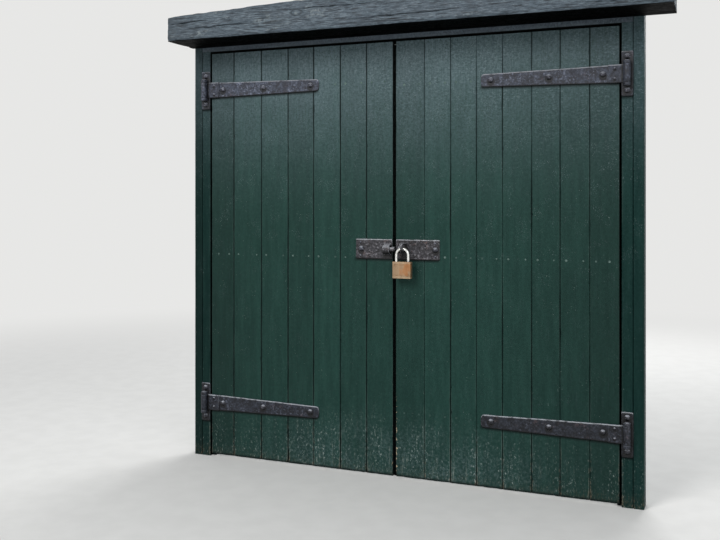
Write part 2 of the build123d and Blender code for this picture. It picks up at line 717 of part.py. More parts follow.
def make_staple():
    """A round bar bent to a U in the plane across the door, with a nut on each leg behind."""
    bend = STAPLE_LEG_SPACING / 2
    back = leaf_back + NUT_HEIGHT + BOLT_END
    ring = Pos(padlock_x, -STAPLE_REACH, staple_z) * (Rot(0, 90, 0) * Torus(bend, STAPLE_RADIUS))
    reach = bend + STAPLE_RADIUS + 1
    front_half = block(
        (padlock_x - reach, padlock_x + reach),
        (-STAPLE_REACH - reach, -STAPLE_REACH),
        (staple_z - reach, staple_z + reach),
    )
    staple = ring & front_half
    for x, z in staple_leg_places():
        staple += rod(STAPLE_RADIUS, (x, -STAPLE_REACH, z), (x, back, z))
    nodes["padlock_staple"] = staple


def make_padlock():
    y = -SHACKLE_OFF_DOOR
    legs = (padlock_x - arch_radius, padlock_x + arch_radius)
    depths = (LONG_LEG_DEPTH, SHORT_LEG_DEPTH)

    body = block(
        (padlock_x - BODY_WIDTH / 2, padlock_x + BODY_WIDTH / 2),
        (y - BODY_THICKNESS / 2, y + BODY_THICKNESS / 2),
        (body_bottom, body_top),
    )
    body = fillet(body.edges().filter_by(Axis.Z), BODY_ROUNDING)
    for x, depth in zip(legs, depths):
        bore_radius = SHACKLE_RADIUS + SHACKLE_CLEARANCE
        body -= rod(bore_radius, (x, y, body_top - depth - BORE_END_GAP), (x, y, body_top + 1))
    body -= rod(
        LOCKING_PIN_RADIUS + LOCKING_PIN_CLEARANCE,
        (legs[0], y, locking_pin_z),
        (legs[1], y, locking_pin_z),
    )
    cam_top = body_top - CAM_TOP_DROP
    body -= rod(
        CYLINDER_RADIUS + CYLINDER_CLEARANCE,
        (padlock_x, y, body_bottom - 1),
        (padlock_x, y, cam_top + BORE_END_GAP / 2),
    )
    nodes["padlock_body"] = body

    ring = Pos(padlock_x, y, arch_z) * (Rot(90, 0, 0) * Torus(arch_radius, SHACKLE_RADIUS))
    reach = arch_radius + SHACKLE_RADIUS + 1
    upper_half = block(
        (padlock_x - reach, padlock_x + reach), (y - reach, y + reach), (arch_z, arch_z + reach)
    )
    shackle = ring & upper_half
    for x, depth, inward in zip(legs, depths, (1, -1)):
        shackle += rod(SHACKLE_RADIUS, (x, y, body_top - depth), (x, y, arch_z))
        notch_x = x + inward * (SHACKLE_RADIUS + LOCKING_PIN_RADIUS - NOTCH_DEPTH)
        shackle -= Pos(notch_x, y, locking_pin_z) * Sphere(LOCKING_PIN_RADIUS)
    nodes["padlock_shackle"] = shackle

    plug = rod(
        CYLINDER_RADIUS, (padlock_x, y, body_bottom), (padlock_x, y, body_top - CYLINDER_TOP_DROP)
    )
    cam = rod(CAM_LONG, (padlock_x, y, body_bottom), (padlock_x, y, cam_top)) & block(
        (padlock_x - CAM_SHORT, padlock_x + CAM_SHORT),
        (y - CAM_LONG, y + CAM_LONG),
        (body_bottom, cam_top),
    )
    keyway = block(
        (padlock_x - KEYWAY_WIDTH / 2, padlock_x + KEYWAY_WIDTH / 2),
        (y - KEYWAY_HEIGHT / 2, y + KEYWAY_HEIGHT / 2),
        (body_bottom - 1, body_bottom + KEYWAY_DEPTH),
    )
    nodes["key_cylinder"] = plug + cam - keyway

    locking_pins = []
    for x, inward in zip(legs, (1, -1)):
        outer_end = x + inward * (SHACKLE_RADIUS + LOCKING_PIN_GAP)
        inner_end = padlock_x - inward * (CAM_LONG + LOCKING_PIN_GAP / 2)
        pin = rod(LOCKING_PIN_RADIUS, (outer_end, y, locking_pin_z), (inner_end, y, locking_pin_z))
        locking_pins.append(chamfer(pin.edges().filter_by(GeomType.CIRCLE), LOCKING_PIN_RADIUS / 4))
    nodes["locking_pins"] = group(locking_pins)


make_posts()
make_head_and_lintel()
for leaf_side in SIDES:
    leaf_bores = leaf_holes(leaf_side)
    make_boards(leaf_side, leaf_bores)
    make_ledges_and_braces(leaf_side, leaf_bores)
    make_leaf_fasteners(leaf_side)
make_meeting_strip()
make_hinges()
make_lock_plates()
make_slide_bolt()
make_staple()
make_padlock()

os.makedirs("parts", exist_ok=True)
for name, shape in nodes.items():
    export_step(shape, os.path.join("parts", name + ".step"))
print(len(nodes), "nodes")
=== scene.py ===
import functools
import math

import bpy
import numpy as np
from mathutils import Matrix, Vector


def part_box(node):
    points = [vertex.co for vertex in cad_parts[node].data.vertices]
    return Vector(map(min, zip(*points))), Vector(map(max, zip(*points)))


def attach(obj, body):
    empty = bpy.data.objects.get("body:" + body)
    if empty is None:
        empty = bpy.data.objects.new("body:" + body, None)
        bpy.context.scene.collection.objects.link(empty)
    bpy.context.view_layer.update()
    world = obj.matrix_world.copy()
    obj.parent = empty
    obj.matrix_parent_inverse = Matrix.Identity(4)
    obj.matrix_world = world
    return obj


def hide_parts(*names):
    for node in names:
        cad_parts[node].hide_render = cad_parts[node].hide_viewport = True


# Looks of a pair of barn doors: weathered green boards and frame, a hewn lintel painted slate
# blue, black hammered strap hinges and lock plates, and a brass padlock. Metres, in the frame
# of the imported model: X along the doors, Y into the building and Z up.

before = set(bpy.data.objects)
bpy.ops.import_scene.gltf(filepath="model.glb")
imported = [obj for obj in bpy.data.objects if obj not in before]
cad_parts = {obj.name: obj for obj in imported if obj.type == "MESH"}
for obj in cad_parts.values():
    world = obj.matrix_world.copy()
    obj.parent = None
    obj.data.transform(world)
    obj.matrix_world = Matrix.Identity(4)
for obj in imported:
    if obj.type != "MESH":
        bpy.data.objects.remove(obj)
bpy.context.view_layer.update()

SIDES = {"left": -1, "right": 1}
BOARD_COUNT = {"left": 7, "right": 8}
PIN_X = {"left": -1.0095, "right": 1.0095}


def middle_z(node):
    """The height of the middle of a CAD node."""
    low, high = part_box(node)
    return (low.z + high.z) / 2


# Smooth random values


def ripple(x, seed, spacing, amount):
    """Smooth random values along a line, from -amount to amount."""
    table = np.random.default_rng(seed).uniform(-1, 1, 4096)
    t = np.asarray(x, float) / spacing + 1000
    i = np.floor(t).astype(int)
    f = t - i
    f = f * f * (3 - 2 * f)
    return amount * (table[i % 4096] * (1 - f) + table[(i + 1) % 4096] * f)


def rough(x, y, seed, across, along, amount):
    """Smooth random values over a surface, with one spacing across it and one along it."""
    table = np.random.default_rng(seed).uniform(-1, 1, (256, 256))
    s = np.asarray(x, float) / across + 500
    t = np.asarray(y, float) / along + 500
    i, j = np.floor(s).astype(int), np.floor(t).astype(int)
    f, g = s - i, t - j
    f, g = f * f * (3 - 2 * f), g * g * (3 - 2 * g)
    i0, i1, j0, j1 = i % 256, (i + 1) % 256, j % 256, (j + 1) % 256
    low = table[i0, j0] * (1 - f) + table[i1, j0] * f
    high = table[i0, j1] * (1 - f) + table[i1, j1] * f
    return amount * (low * (1 - g) + high * g)


def chips(z, seed, spacing, limit, depth):
    """Bites out of an edge: nothing in most places, and up to depth where the noise is high."""
    return depth * np.clip((ripple(z, seed, spacing, 1.0) - limit) / (1 - limit), 0, 1)


# Meshes


def linked(name, data):
    obj = bpy.data.objects.new(name, data)
    bpy.context.scene.collection.objects.link(obj)
    return obj


def smooth(mesh, angle):
    """Smooth faces between edges that are sharper than the angle."""
    mesh.polygons.foreach_set("use_smooth", np.ones(len(mesh.polygons), bool))
    mesh.set_sharp_from_angle(angle=math.radians(angle))


class Shape:
    """Points, faces, material slots and point values, gathered from several parts."""

    def __init__(self):
        self.verts, self.faces, self.slots, self.values = [], [], [], {}

    def add(self, rings, values, slot=0, side_slots=None, flip=False):
        """Add a closed skin through rings of points, with flat ends."""
        rings = np.asarray(rings, float)
        count, size = rings.shape[:2]
        base = len(self.verts)
        faces = []
        for s in range(0, (count - 1) * size, size):
            for p in range(size):
                q = (p + 1) % size
                faces.append((s + p, s + q, s + size + q, s + size + p))
        faces += [range(size)[::-1], range((count - 1) * size, count * size)]
        self.verts += rings.reshape(-1, 3).tolist()
        self.faces += [[base + i for i in face][:: -1 if flip else 1] for face in faces]
        self.slots += (side_slots or [slot] * size) * (count - 1) + [slot, slot]
        for key in self.values | values:
            spread = np.broadcast_to(values.get(key, 0.0), (count, size))
            self.values.setdefault(key, [0.0] * base).extend(spread.reshape(-1).tolist())

    def keep(self, node, materials, body, name=None, angle=38):
        """Make the piece, which stands for its CAD node, rides on its body and has its finish."""
        name = name or "skin_" + node
        mesh = bpy.data.meshes.new(name)
        mesh.from_pydata(self.verts, [], self.faces)
        for made in materials:
            mesh.materials.append(made)
        mesh.polygons.foreach_set("material_index", np.asarray(self.slots, np.int32))
        for key, numbers in self.values.items():
            attribute = mesh.attributes.new(key, "FLOAT", "POINT")
            attribute.data.foreach_set("value", np.asarray(numbers, np.float32))
        mesh.validate(clean_customdata=False)
        smooth(mesh, angle)
        obj = linked(name, mesh)
        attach(obj, body)
        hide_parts(node)


def lathe(profile, origin, axis, count=40):
    """Rings round an axis, from a profile of (radius, distance along the axis)."""
    angles = np.linspace(0, 2 * math.pi, count, endpoint=False)
    rings = []
    for radius, along in profile:
        a, b, c = radius * np.cos(angles), radius * np.sin(angles), np.full(count, along)
        columns = {"z": (a, b, c), "y": (b, c, a)}[axis]
        rings.append(np.stack(columns, 1) + origin)
    return np.array(rings)


def rounded(inside, radius):
    """How far a round corner has fallen back at this distance into it."""
    return radius - math.sqrt(max(radius**2 - max(inside, 0.0) ** 2, 0.0))


HAMMER = 0.0003
MARK_SAG = 0.0035


def flat_bar(x0, x1, half, y_front, y_back, bevel, seed, nx, nz, wave=0.0003, marks=()):
    """Rings and values of a flat bar along X, centred on Z zero, with a beaten face.

    Half gives half the bar's height at an x. Marks are rings of painted shadow on its face: x, z,
    radius, spread and strength. The painted shadow sags a little below what it lies round.
    """
    xs = np.concatenate(([x0], np.linspace(x0 + bevel, x1 - bevel, nx), [x1]))
    rings, wear_and_highlight, shade = [], [], []
    for k, x in enumerate(xs):
        end = k in (0, len(xs) - 1)
        face = y_front + (bevel if end else 0.0)
        up = half(x) + ripple(x, seed, 0.03, wave)
        down = -half(x) + ripple(x, seed + 1, 0.03, wave)
        if end:
            up, down = up - bevel * 0.6, down + bevel * 0.6
        top, foot = up - bevel, down + bevel
        inside = np.linspace(top - 0.0045, foot + 0.0045, nz - 4)
        zs = np.concatenate(([top, top - 0.0022], inside, [foot + 0.0022, foot]))
        ys = np.full(nz, face)
        if not end:
            dents = rough(x, zs, seed + 2, 0.011, 0.011, HAMMER)
            dents += rough(x, zs, seed + 3, 0.035, 0.03, HAMMER)
            ys += np.clip(dents + HAMMER, 0, None)
        edge = face + min(bevel, abs(y_back - face) * 0.5)
        ring = [(x, edge, down), (x, y_back, down), (x, y_back, up), (x, edge, up)]
        ring += [(x, y, z) for y, z in zip(ys, zs)]
        rings.append(ring)
        # The upper edge is worn, and the iron paints it lighter as a painted highlight.
        rim = [0, 0, 0, 1, 1, 1] + [0] * (nz - 2)
        wear_and_highlight.append([0.6] * len(ring) if end else rim)
        dark = np.zeros(nz)
        for mark_x, mark_z, radius, spread, strength in marks:
            away = np.hypot(x - mark_x, zs - mark_z + MARK_SAG)
            dark = np.maximum(dark, strength * np.clip(1 - (away - radius) / spread, 0, 1))
        # Painted shade on the lower side and the lower edge of the bar.
        dark[-2:] = np.maximum(dark[-2:], (0.75, 1.0))
        shade.append([1, 1, 0, 0, *dark])
    return np.array(rings), {"wear_and_highlight": wear_and_highlight, "shade": shade}


# Shader nodes


def srgb(*values):
    """A colour written as 0 to 255 on a screen, for a shader."""
    parts = [v / 255 for v in values]
    return (*(c / 12.92 if c <= 0.04045 else ((c + 0.055) / 1.055) ** 2.4 for c in parts), 1.0)


class Nodes:
    """A node tree, with short calls for the nodes that are used here."""

    def __init__(self, owner):
        owner.use_nodes = True
        self.tree = owner.node_tree
        self.tree.nodes.clear()

    def new(self, kind, inputs=(), **settings):
        """A node with its settings, and values or links for its inputs, by name or in order."""
        node = self.tree.nodes.new(kind)
        for name, value in settings.items():
            setattr(node, name, value)
        for key, value in inputs.items() if isinstance(inputs, dict) else enumerate(inputs):
            if isinstance(value, bpy.types.NodeSocket):
                self.tree.links.new(value, node.inputs[key])
            elif value is not None:
                node.inputs[key].default_value = value
        return node

    def math(self, kind, a, b=0.0):
        return self.new("ShaderNodeMath", (a, b), operation=kind).outputs[0]

    def step(self, value, low, high, to_low=0.0, to_high=1.0):
        """Value goes smoothly from to_low at low to to_high at high."""
        inputs = (value, low, high, to_low, to_high)
        return self.new("ShaderNodeMapRange", inputs, interpolation_type="SMOOTHSTEP").outputs[0]

    def join(self, kind, parts):
        """Join values in one way. A tuple among them holds what step() is called with."""
        made = [self.step(*part) if isinstance(part, tuple) else part for part in parts]
        return functools.reduce(lambda a, b: self.math(kind, a, b), made)

    def times(self, *parts):
        return self.join("MULTIPLY", parts)

    def plus(self, *parts):
        return self.join("ADD", parts)

    def most(self, *parts):
        return self.join("MAXIMUM", parts)

    def seen(self):
        """One for the rays that meet the background: from the camera, reflected or let through."""
        rays = self.new("ShaderNodeLightPath").outputs
        return self.most(*(rays[f"Is {kind} Ray"] for kind in ("Camera", "Glossy", "Transmission")))

    def blend(self, share, first, second):
        return self.new("ShaderNodeMixShader", (share, first, second)).outputs[0]

    def show(self, shader, kind="ShaderNodeOutputMaterial"):
        self.new(kind, {"Surface": shader})


class Paint(Nodes):
    """A material whose colours are laid one over the other."""

    def __init__(self, name):
        self.material = bpy.data.materials.new(name)
        super().__init__(self.material)
        places = self.new("ShaderNodeTexCoord").outputs
        self.place = places["Object"]
        self.x, self.z = self.part(self.place, "X"), self.part(self.place, "Z")
        self.normal_z = self.part(places["Normal"], "Z")
        self.share_z = self.part(places["Generated"], "Z")

    def part(self, vector, axis):
        return self.new("ShaderNodeSeparateXYZ", (vector,)).outputs[axis]

    def stretched(self, scale, offset=(0, 0, 0)):
        inputs = {"Vector": self.place, "Scale": scale, "Location": offset}
        return self.new("ShaderNodeMapping", inputs).outputs[0]

    def noise(self, scale, detail=4, roughness=0.6, place=None):
        inputs = {"Scale": scale, "Detail": detail, "Roughness": roughness}
        inputs["Vector"] = place or self.place
        return self.new("ShaderNodeTexNoise", inputs).outputs[0]

    def cells(self, scale, feature="F1"):
        inputs = {"Vector": self.place, "Scale": scale}
        return self.new("ShaderNodeTexVoronoi", inputs, feature=feature).outputs["Distance"]

    def value_of(self, name):
        return self.new("ShaderNodeAttribute", attribute_name=name).outputs["Fac"]

    def weigh(self, *parts):
        """The sum of values, each with its weight."""
        return self.plus(*(self.times(value, weight) for value, weight in parts))

    def mix(self, share, *colours, blend="MIX"):
        """Two colours mixed. A tuple of three is a colour of the screen, from 0 to 255."""
        a, b = (srgb(*c) if isinstance(c, tuple) and len(c) == 3 else c for c in colours)
        inputs = {0: share, 6: a, 7: b}
        node = self.new("ShaderNodeMix", inputs, data_type="RGBA", blend_type=blend)
        return node.outputs[2]

    def lay(self, colour, *shares):
        """Lay a colour over what is there, as far as the shares say together."""
        self.colour = self.mix(self.times(*shares), self.colour, colour)

    def brighten(self, *factors):
        self.colour = self.mix(1.0, self.colour, self.times(*factors), blend="MULTIPLY")

    def bump(self, height, distance, strength):
        inputs = {"Height": height, "Distance": distance, "Strength": strength}
        return self.new("ShaderNodeBump", inputs).outputs[0]

    def shader(self, roughness, normal=None, metallic=0.0, specular=0.5):
        inputs = {"Base Color": self.colour, "Roughness": roughness, "Normal": normal}
        inputs |= {"Metallic": metallic, "Specular IOR Level": specular}
        return self.new("ShaderNodeBsdfPrincipled", inputs).outputs[0]

    def finish(self, *looks, **more):
        self.show(self.shader(*looks, **more))
        return self.material


class Timber(Paint):
    """The textures of old paint on timber, drawn out along the grain."""

    def __init__(self, name, grain_axis):
        super().__init__(name)
        self.grain_axis = grain_axis
        self.grain = self.noise(230, 6, 0.62, self.drawn_out(0.045))
        self.fine = self.noise(820, 3, 0.6, self.drawn_out(0.045))
        self.streak = self.noise(34, place=self.drawn_out(0.12))
        self.patch = self.noise(5.5, 5)
        self.mottle = self.noise(75, 5, 0.65)
        self.wear_and_highlight = self.value_of("wear_and_highlight")
        self.off_middle = self.math("ABSOLUTE", self.x)

    def drawn_out(self, share):
        return self.stretched((1, 1, share) if self.grain_axis == "z" else (share, 1, 1))


# Materials


def old_coat(p, deep, mid, faded_sheen, fade_sheen_low, fade_sheen_high):
    """Paint in streaks of two tones, with the grain showing through, darker towards the sides.
    Higher up it fades to a pale blue-grey, partly real fading and partly a painted sheen, weaker to
    the right.
    """
    p.colour = p.mix(p.step(p.weigh((p.streak, 0.55), (p.mottle, 0.45)), 0.36, 0.66), deep, mid)
    # Fading higher up, partly real and partly a painted sheen, weaker towards the right.
    p.lay(
        faded_sheen,
        p.math("POWER", p.step(p.z, fade_sheen_low, fade_sheen_high), 1.5),
        (p.x, -0.2, 1, 1, 0.78),
        (p.patch, 0.3, 0.7, 0.75, 1),
        (p.mottle, 0.35, 0.65, 0.65, 1.1),
        (p.grain, 0.35, 0.65, 0.75, 1.15),
    )
    # Lighter or darker piece by piece, darker on the left posts as painted shade, and darker
    # towards the sides.
    low_outer = p.times((p.off_middle, 0.4, 0.95), (p.z, 1.5, 0.6), 0.09)
    p.brighten(
        p.plus(1, p.times(p.value_of("tone_and_shade"), 0.2)),
        (p.off_middle, 0.35, 1, 1, 0.86),
        p.math("SUBTRACT", 1, low_outer),
    )
    p.lay(deep, (p.grain, 0.56, 0.74, 0, 0.4))
    p.lay(faded_sheen, (p.grain, 0.42, 0.3, 0, 0.06))


def crazing(p, deep):
    """Fine cracks, scales, flecks and pits in the paint, most of them high up, where the pale
    flecks and pale scales partly stand for painted glints of sheen.
    """
    crazed = p.noise(80, 5, 0.62, p.drawn_out(1.7))
    where = p.times((p.z, 1.3, 1.8), (p.x, -0.8, 0.3, 0.3, 1), (p.noise(6), 0.4, 0.56, 0.3, 1))
    p.lay((34, 50, 53), where, (crazed, 0.54, 0.6, 0, 0.38))
    p.lay((128, 144, 150), where, (crazed, 0.45, 0.4, 0, 0.2))
    # Pale flecks high up, partly painted glints of sheen.
    specks_and_glints = p.times((p.noise(240, 3), 0.58, 0.68), (p.noise(13), 0.5, 0.62))
    p.lay((138, 152, 156), specks_and_glints, (p.z, 0.6, 1.6, 0.25, 1), 0.45)
    p.lay(deep, (p.noise(150, 3), 0.42, 0.32), (p.z, 0.8, 1.8, 0.1, 0.5))


def worn_edges(p):
    """Paint that is rubbed thin along the edges, and bare timber low down."""
    rubbed = p.times((p.wear_and_highlight, 0.35, 1), (p.streak, 0.42, 0.62))
    p.lay((112, 128, 122), rubbed, p.plus(p.times((p.z, 0.5, 0.04), 0.4), 0.08))
    bare = p.times((p.wear_and_highlight, 0.25, 0.95), (p.noise(60), 0.52, 0.6))
    p.lay((128, 118, 100), bare, (p.z, 0.3, 0.03), 0.55)


def foot_dirt(p):
    """Haze, dust, runs and rot at the foot, thickest about the middle of the doors."""
    scuff = p.noise(175, 5, 0.7, p.drawn_out(0.34))
    drip = p.noise(70, place=p.drawn_out(0.09))
    cluster = p.step(p.noise(24, place=p.drawn_out(0.15)), 0.42, 0.6)
    haze = p.times(
        (p.z, 0.36, 0.03),
        (p.patch, 0.35, 0.6, 0.35, 1),
        (p.off_middle, 1.02, 0.1, 0.08, 1.1),
    )
    p.lay((90, 106, 110), haze, (p.mottle, 0.42, 0.6, 0.05, 0.33))
    dust = p.times(
        (scuff, 0.55, 0.62),
        (p.mottle, 0.46, 0.58, 0.05, 1.3),
        p.plus(0.2, p.times(cluster, 1.1)),
        p.most(haze, (p.z, 0.3, 0.03, 0, 0.45)),
    )
    p.lay((146, 158, 154), dust)
    p.lay((128, 138, 130), (drip, 0.56, 0.68), (scuff, 0.42, 0.6), haze, 0.5)
    rot = p.times((p.z, 0.075, 0.012), (scuff, 0.46, 0.6))
    p.lay((116, 98, 78), rot, (p.wear_and_highlight, 0, 0.7, 0.12, 0.7))


def painted_timber(name, deep, mid, faded_sheen, fade_sheen_low, fade_sheen_high, grain_axis, specular=0.12):
    """Old paint on timber: fading with a painted sheen high up, crazed, worn at the edges and dirty
    at the foot, with painted shade in the joints, along the foot and under the iron.
    """
    p = Timber(name, grain_axis)
    old_coat(p, deep, mid, faded_sheen, fade_sheen_low, fade_sheen_high)
    crazing(p, deep)
    worn_edges(p)
    foot_dirt(p)
    raw = p.times(p.value_of("raw"), (p.z, 0.9, 0.05, 0, 0.56))
    raw = p.plus(raw, p.times(p.math("SUBTRACT", p.noise(60, 4, 0.65), 0.5), 2.2))
    p.lay((176, 160, 134), (raw, 0.56, 0.66, 0, 0.9))
    spots = p.times((p.cells(95), 0.13, 0.07), (p.noise(17, 3, 0.5), 0.54, 0.62))
    p.lay((150, 165, 160), spots, 0.5)
    # Painted shade in the joints and rebates.
    p.lay((2, 14, 13), (p.value_of("joint_shade"), 0.1, 0.9, 0, 0.9))
    p.lay((3, 12, 12), p.value_of("shade"), 0.88)
    height = p.weigh((p.grain, 0.6), (p.fine, 0.25), (p.mottle, 0.5))
    roughness = p.step(p.mottle, 0.3, 0.75, 0.42, 0.62)
    return p.finish(roughness, p.bump(height, 0.0011, 0.75), specular=specular)


def lintel_paint(name):
    """Slate-blue paint on a hewn beam: long checks, worn ridges and rubbed patches, with painted
    shade that makes its underside near black.
    """
    p = Paint(name)
    grain = p.noise(210, 6, 0.68, p.stretched((0.14, 1, 1)))
    fibre = p.noise(240, 3, 0.6, p.stretched((0.06, 1, 1)))
    broad = p.noise(9, 5, 0.6, p.stretched((0.35, 1, 1)))
    vein = p.noise(26, 2, 0.5, p.stretched((0.03, 0.6, 1), (0, 0, 3.1)))
    mottle = p.noise(55, 5, 0.65)
    p.colour = p.mix(p.step(broad, 0.36, 0.66), (63, 74, 83), (76, 88, 97))
    p.lay((104, 115, 122), (mottle, 0.5, 0.75, 0, 0.3))
    p.lay((114, 126, 134), (grain, 0.46, 0.4, 0, 0.42))
    p.lay((34, 42, 50), (grain, 0.53, 0.58, 0, 0.62))
    p.lay((26, 32, 38), (fibre, 0.56, 0.62, 0, 0.85))
    p.lay((48, 54, 58), (p.x, -0.75, -1.08, 0, 0.25))
    ridge = p.step(p.value_of("ridge"), 0.45, 0.95)
    p.lay((128, 136, 138), ridge, (mottle, 0.45, 0.62), 0.6)
    checks = p.times((vein, 0.5, 0.515), (vein, 0.535, 0.52))
    checks = p.times(checks, (p.noise(3.5, 2, 0.5), 0.47, 0.56), 0.75)
    crack = p.most(checks, p.value_of("crack"))
    p.lay((14, 17, 21), crack)
    # Painted shade: the underside, and the face just above it, near black and with little specular.
    under = p.value_of("under")
    p.lay((1, 1, 1), (under, 0.2, 1))
    height = p.weigh((grain, 0.8), (fibre, 0.3), (crack, -1.2), (mottle, 0.6))
    specular = p.step(under, 0.1, 0.8, 0.3, 0.02)
    roughness = p.step(mottle, 0.3, 0.7, 0.5, 0.72)
    return p.finish(roughness, p.bump(height, 0.0022, 0.8), specular=specular)


def gap_shade_material(name):
    """Painted shade: near black, a little mottled, in the gaps and rebates, where little light
    falls.
    """
    p = Paint(name)
    gap_mottle = p.noise(60)
    p.colour = p.mix(p.step(gap_mottle, 0.4, 0.7), (2, 4, 4), (8, 14, 13))
    return p.finish(0.9, p.bump(gap_mottle, 0.001, 0.6), specular=0.05)


def rear_timber(name, deep, mid, squeeze):
    """Duller paint on the inside, thin over sawn timber."""
    p = Paint(name)
    grain = p.noise(150, 5, 0.6, p.stretched(squeeze))
    streak = p.noise(22, place=p.stretched(squeeze))
    patch = p.noise(7, 5)
    mottle = p.noise(70)
    p.colour = p.mix(p.step(p.weigh((patch, 0.4), (streak, 0.6)), 0.38, 0.62), deep, mid)
    p.brighten(p.plus(1, p.times(p.value_of("tone_and_shade"), 0.22)))
    p.lay((20, 30, 27), (grain, 0.54, 0.66, 0, 0.7))
    p.lay((84, 100, 92), (grain, 0.44, 0.34, 0, 0.3))
    p.lay((104, 92, 74), (mottle, 0.62, 0.74), (patch, 0.5, 0.65), 0.5)
    height = p.weigh((grain, 0.8), (mottle, 0.4))
    return p.finish(0.68, p.bump(height, 0.0014, 0.7), specular=0.25)


WORN_EDGE_AND_HIGHLIGHT = (168, 172, 178)


def hammered_iron(name, dark, mid, light, rust, roughness=(0.42, 0.62)):
    """Black paint over beaten iron: blotches, rubbed places and a little rust, with painted light:
    darker low down and to the right, painted highlights on the upper edges and on faces that look
    up, and painted shade on faces that look down and wherever the shade values say.
    """
    p = Paint(name)
    blotch = p.noise(34)
    pits = p.noise(120)
    fine = p.noise(420, 3)
    patch = p.noise(17, place=p.stretched((1, 1, 1), (4, 1, 6)))
    p.colour = p.mix(p.step(blotch, 0.34, 0.68), dark, mid)
    p.lay(mid, (fine, 0.42, 0.62, 0, 0.35))
    busy = p.step(p.noise(14, 4, 0.65), 0.42, 0.6, 0.25, 1)
    p.lay(light, (pits, 0.52, 0.66, 0, 0.8), busy)
    p.lay(light, (p.noise(230, 3), 0.56, 0.68, 0, 0.7), busy)
    p.lay(dark, (pits, 0.48, 0.36, 0, 0.75))
    # Painted light: darker low down and towards the right.
    p.brighten((p.z, 0.3, 1, 0.5, 1), (p.x, -0.3, 0.7, 1, 0.71))
    # Rubbed ends and rims, and a painted highlight along the upper edges, weaker higher up.
    rubbed = p.times((p.value_of("wear_and_highlight"), 0.2, 0.9), (blotch, 0.36, 0.52, 0.3, 1))
    p.lay(WORN_EDGE_AND_HIGHLIGHT, rubbed, (p.z, 0.6, 1.8, 0.75, 0.4))
    p.lay((104, 72, 58), (patch, 0.55, 0.66), (pits, 0.46, 0.62), rust)
    # Painted highlight on faces that look up.
    p.lay(p.mix(0.4, light, WORN_EDGE_AND_HIGHLIGHT), (p.normal_z, 0.25, 0.75, 0, 0.8))
    # Painted shade where the shade values say, and on faces that look down.
    corners = p.step(p.value_of("shade"), 0.1, 0.9, 0, 0.85)
    p.lay((7, 7, 8), p.most(corners, (p.normal_z, -0.1, -0.65, 0, 0.9)))
    height = p.weigh((pits, 0.9), (p.cells(95, "SMOOTH_F1"), 0.7), (fine, 0.25))
    shine = p.step(pits, 0.3, 0.7, *roughness)
    return p.finish(shine, p.bump(height, 0.0016, 0.8), metallic=0.25, specular=0.4)


def brass(name):
    """Satin brass with brushed lines up it, a line round near each end and a warm smear."""
    p = Paint(name)
    lines = p.noise(900, 3, 0.6, p.stretched((1, 1, 0.02)))
    band = p.noise(52, 2, 0.5, p.stretched((1, 1, 0.06)))
    smear = p.noise(26, 3, 0.5, p.stretched((1, 1, 0.6), (3, 2, 7)))
    spots = p.noise(210)
    p.colour = p.mix(p.step(band, 0.36, 0.62), (149, 121, 92), (125, 97, 71))
    p.lay((167, 143, 115), (p.noise(16, 3, 0.5), 0.42, 0.6, 0, 0.6))
    p.lay((168, 109, 61), (smear, 0.46, 0.6), 0.6)
    p.lay((104, 78, 54), (spots, 0.6, 0.74, 0, 0.4))
    off_middle = p.math("ABSOLUTE", p.math("SUBTRACT", p.share_z, 0.5))
    line = p.times((off_middle, 0.36, 0.372), (off_middle, 0.392, 0.38))
    p.lay((196, 177, 148), (off_middle, 0.37, 0.38), 0.35)
    p.lay((84, 62, 42), line, 0.65)
    height = p.weigh((lines, 0.5), (spots, 0.35), (line, -1.5))
    roughness = p.step(p.noise(34), 0.3, 0.7, 0.36, 0.5)
    return p.finish(roughness, p.bump(height, 0.0004, 0.6), metallic=0.7)


def bright_steel(name):
    """Plated steel with fine scratches."""
    p = Paint(name)
    scratch = p.noise(700, 3, 0.6, p.stretched((1, 1, 0.15)))
    patch = p.noise(80)
    p.colour = p.mix(p.step(patch, 0.45, 0.7), (240, 240, 236), (150, 150, 148))
    roughness = p.step(patch, 0.3, 0.7, 0.16, 0.32)
    return p.finish(roughness, p.bump(scratch, 0.0002, 0.5), metallic=0.7)


def zinc(name):
    """Dull plated nuts and screws with brown stains."""
    p = Paint(name)
    stain = p.noise(120)
    p.colour = p.mix(p.step(p.cells(160), 0.1, 0.6), (150, 152, 152), (108, 110, 110))
    p.lay((96, 78, 60), (stain, 0.55, 0.7, 0, 0.5))
    return p.finish(0.5, p.bump(stain, 0.0005, 0.5), metallic=0.8)


def nail_filler(name, colour):
    """Filler and paint over the nail heads, paler than the boards from the middle rail up."""
    p = Paint(name)
    worn = p.noise(400, 3)
    p.colour = colour
    patch = p.step(p.noise(11, 3), 0.38, 0.6, 0.15, 1)
    p.lay((112, 132, 126), (worn, 0.4, 0.65, 0.4, 1), (p.z, 0.5, 0.95, 0.1, 0.75), patch)
    return p.finish(0.6, p.bump(worn, 0.0004, 0.6), specular=0.3)


BOARD_GREENS = ((20, 47, 42), (29, 58, 52), (104, 118, 126))
POST_GREENS = ((12, 41, 38), (24, 53, 49), (98, 113, 121))
HEAD_GREYS = ((42, 51, 58), (70, 80, 90), (104, 114, 124))
REAR_GREENS = ((36, 55, 50), (53, 72, 65))
STRAP_BLACKS = ((27, 29, 37), (58, 64, 78), (118, 125, 143))
PLATE_BLACKS = ((21, 21, 24), (56, 55, 60), (128, 127, 133))
BOLT_BLACKS = ((38, 39, 47), (69, 71, 83), (150, 154, 166))
RUBBED_BLACKS = ((40, 40, 44), (78, 78, 83), (144, 144, 148))
RUBBED_SMOOTH = (0.3, 0.46)

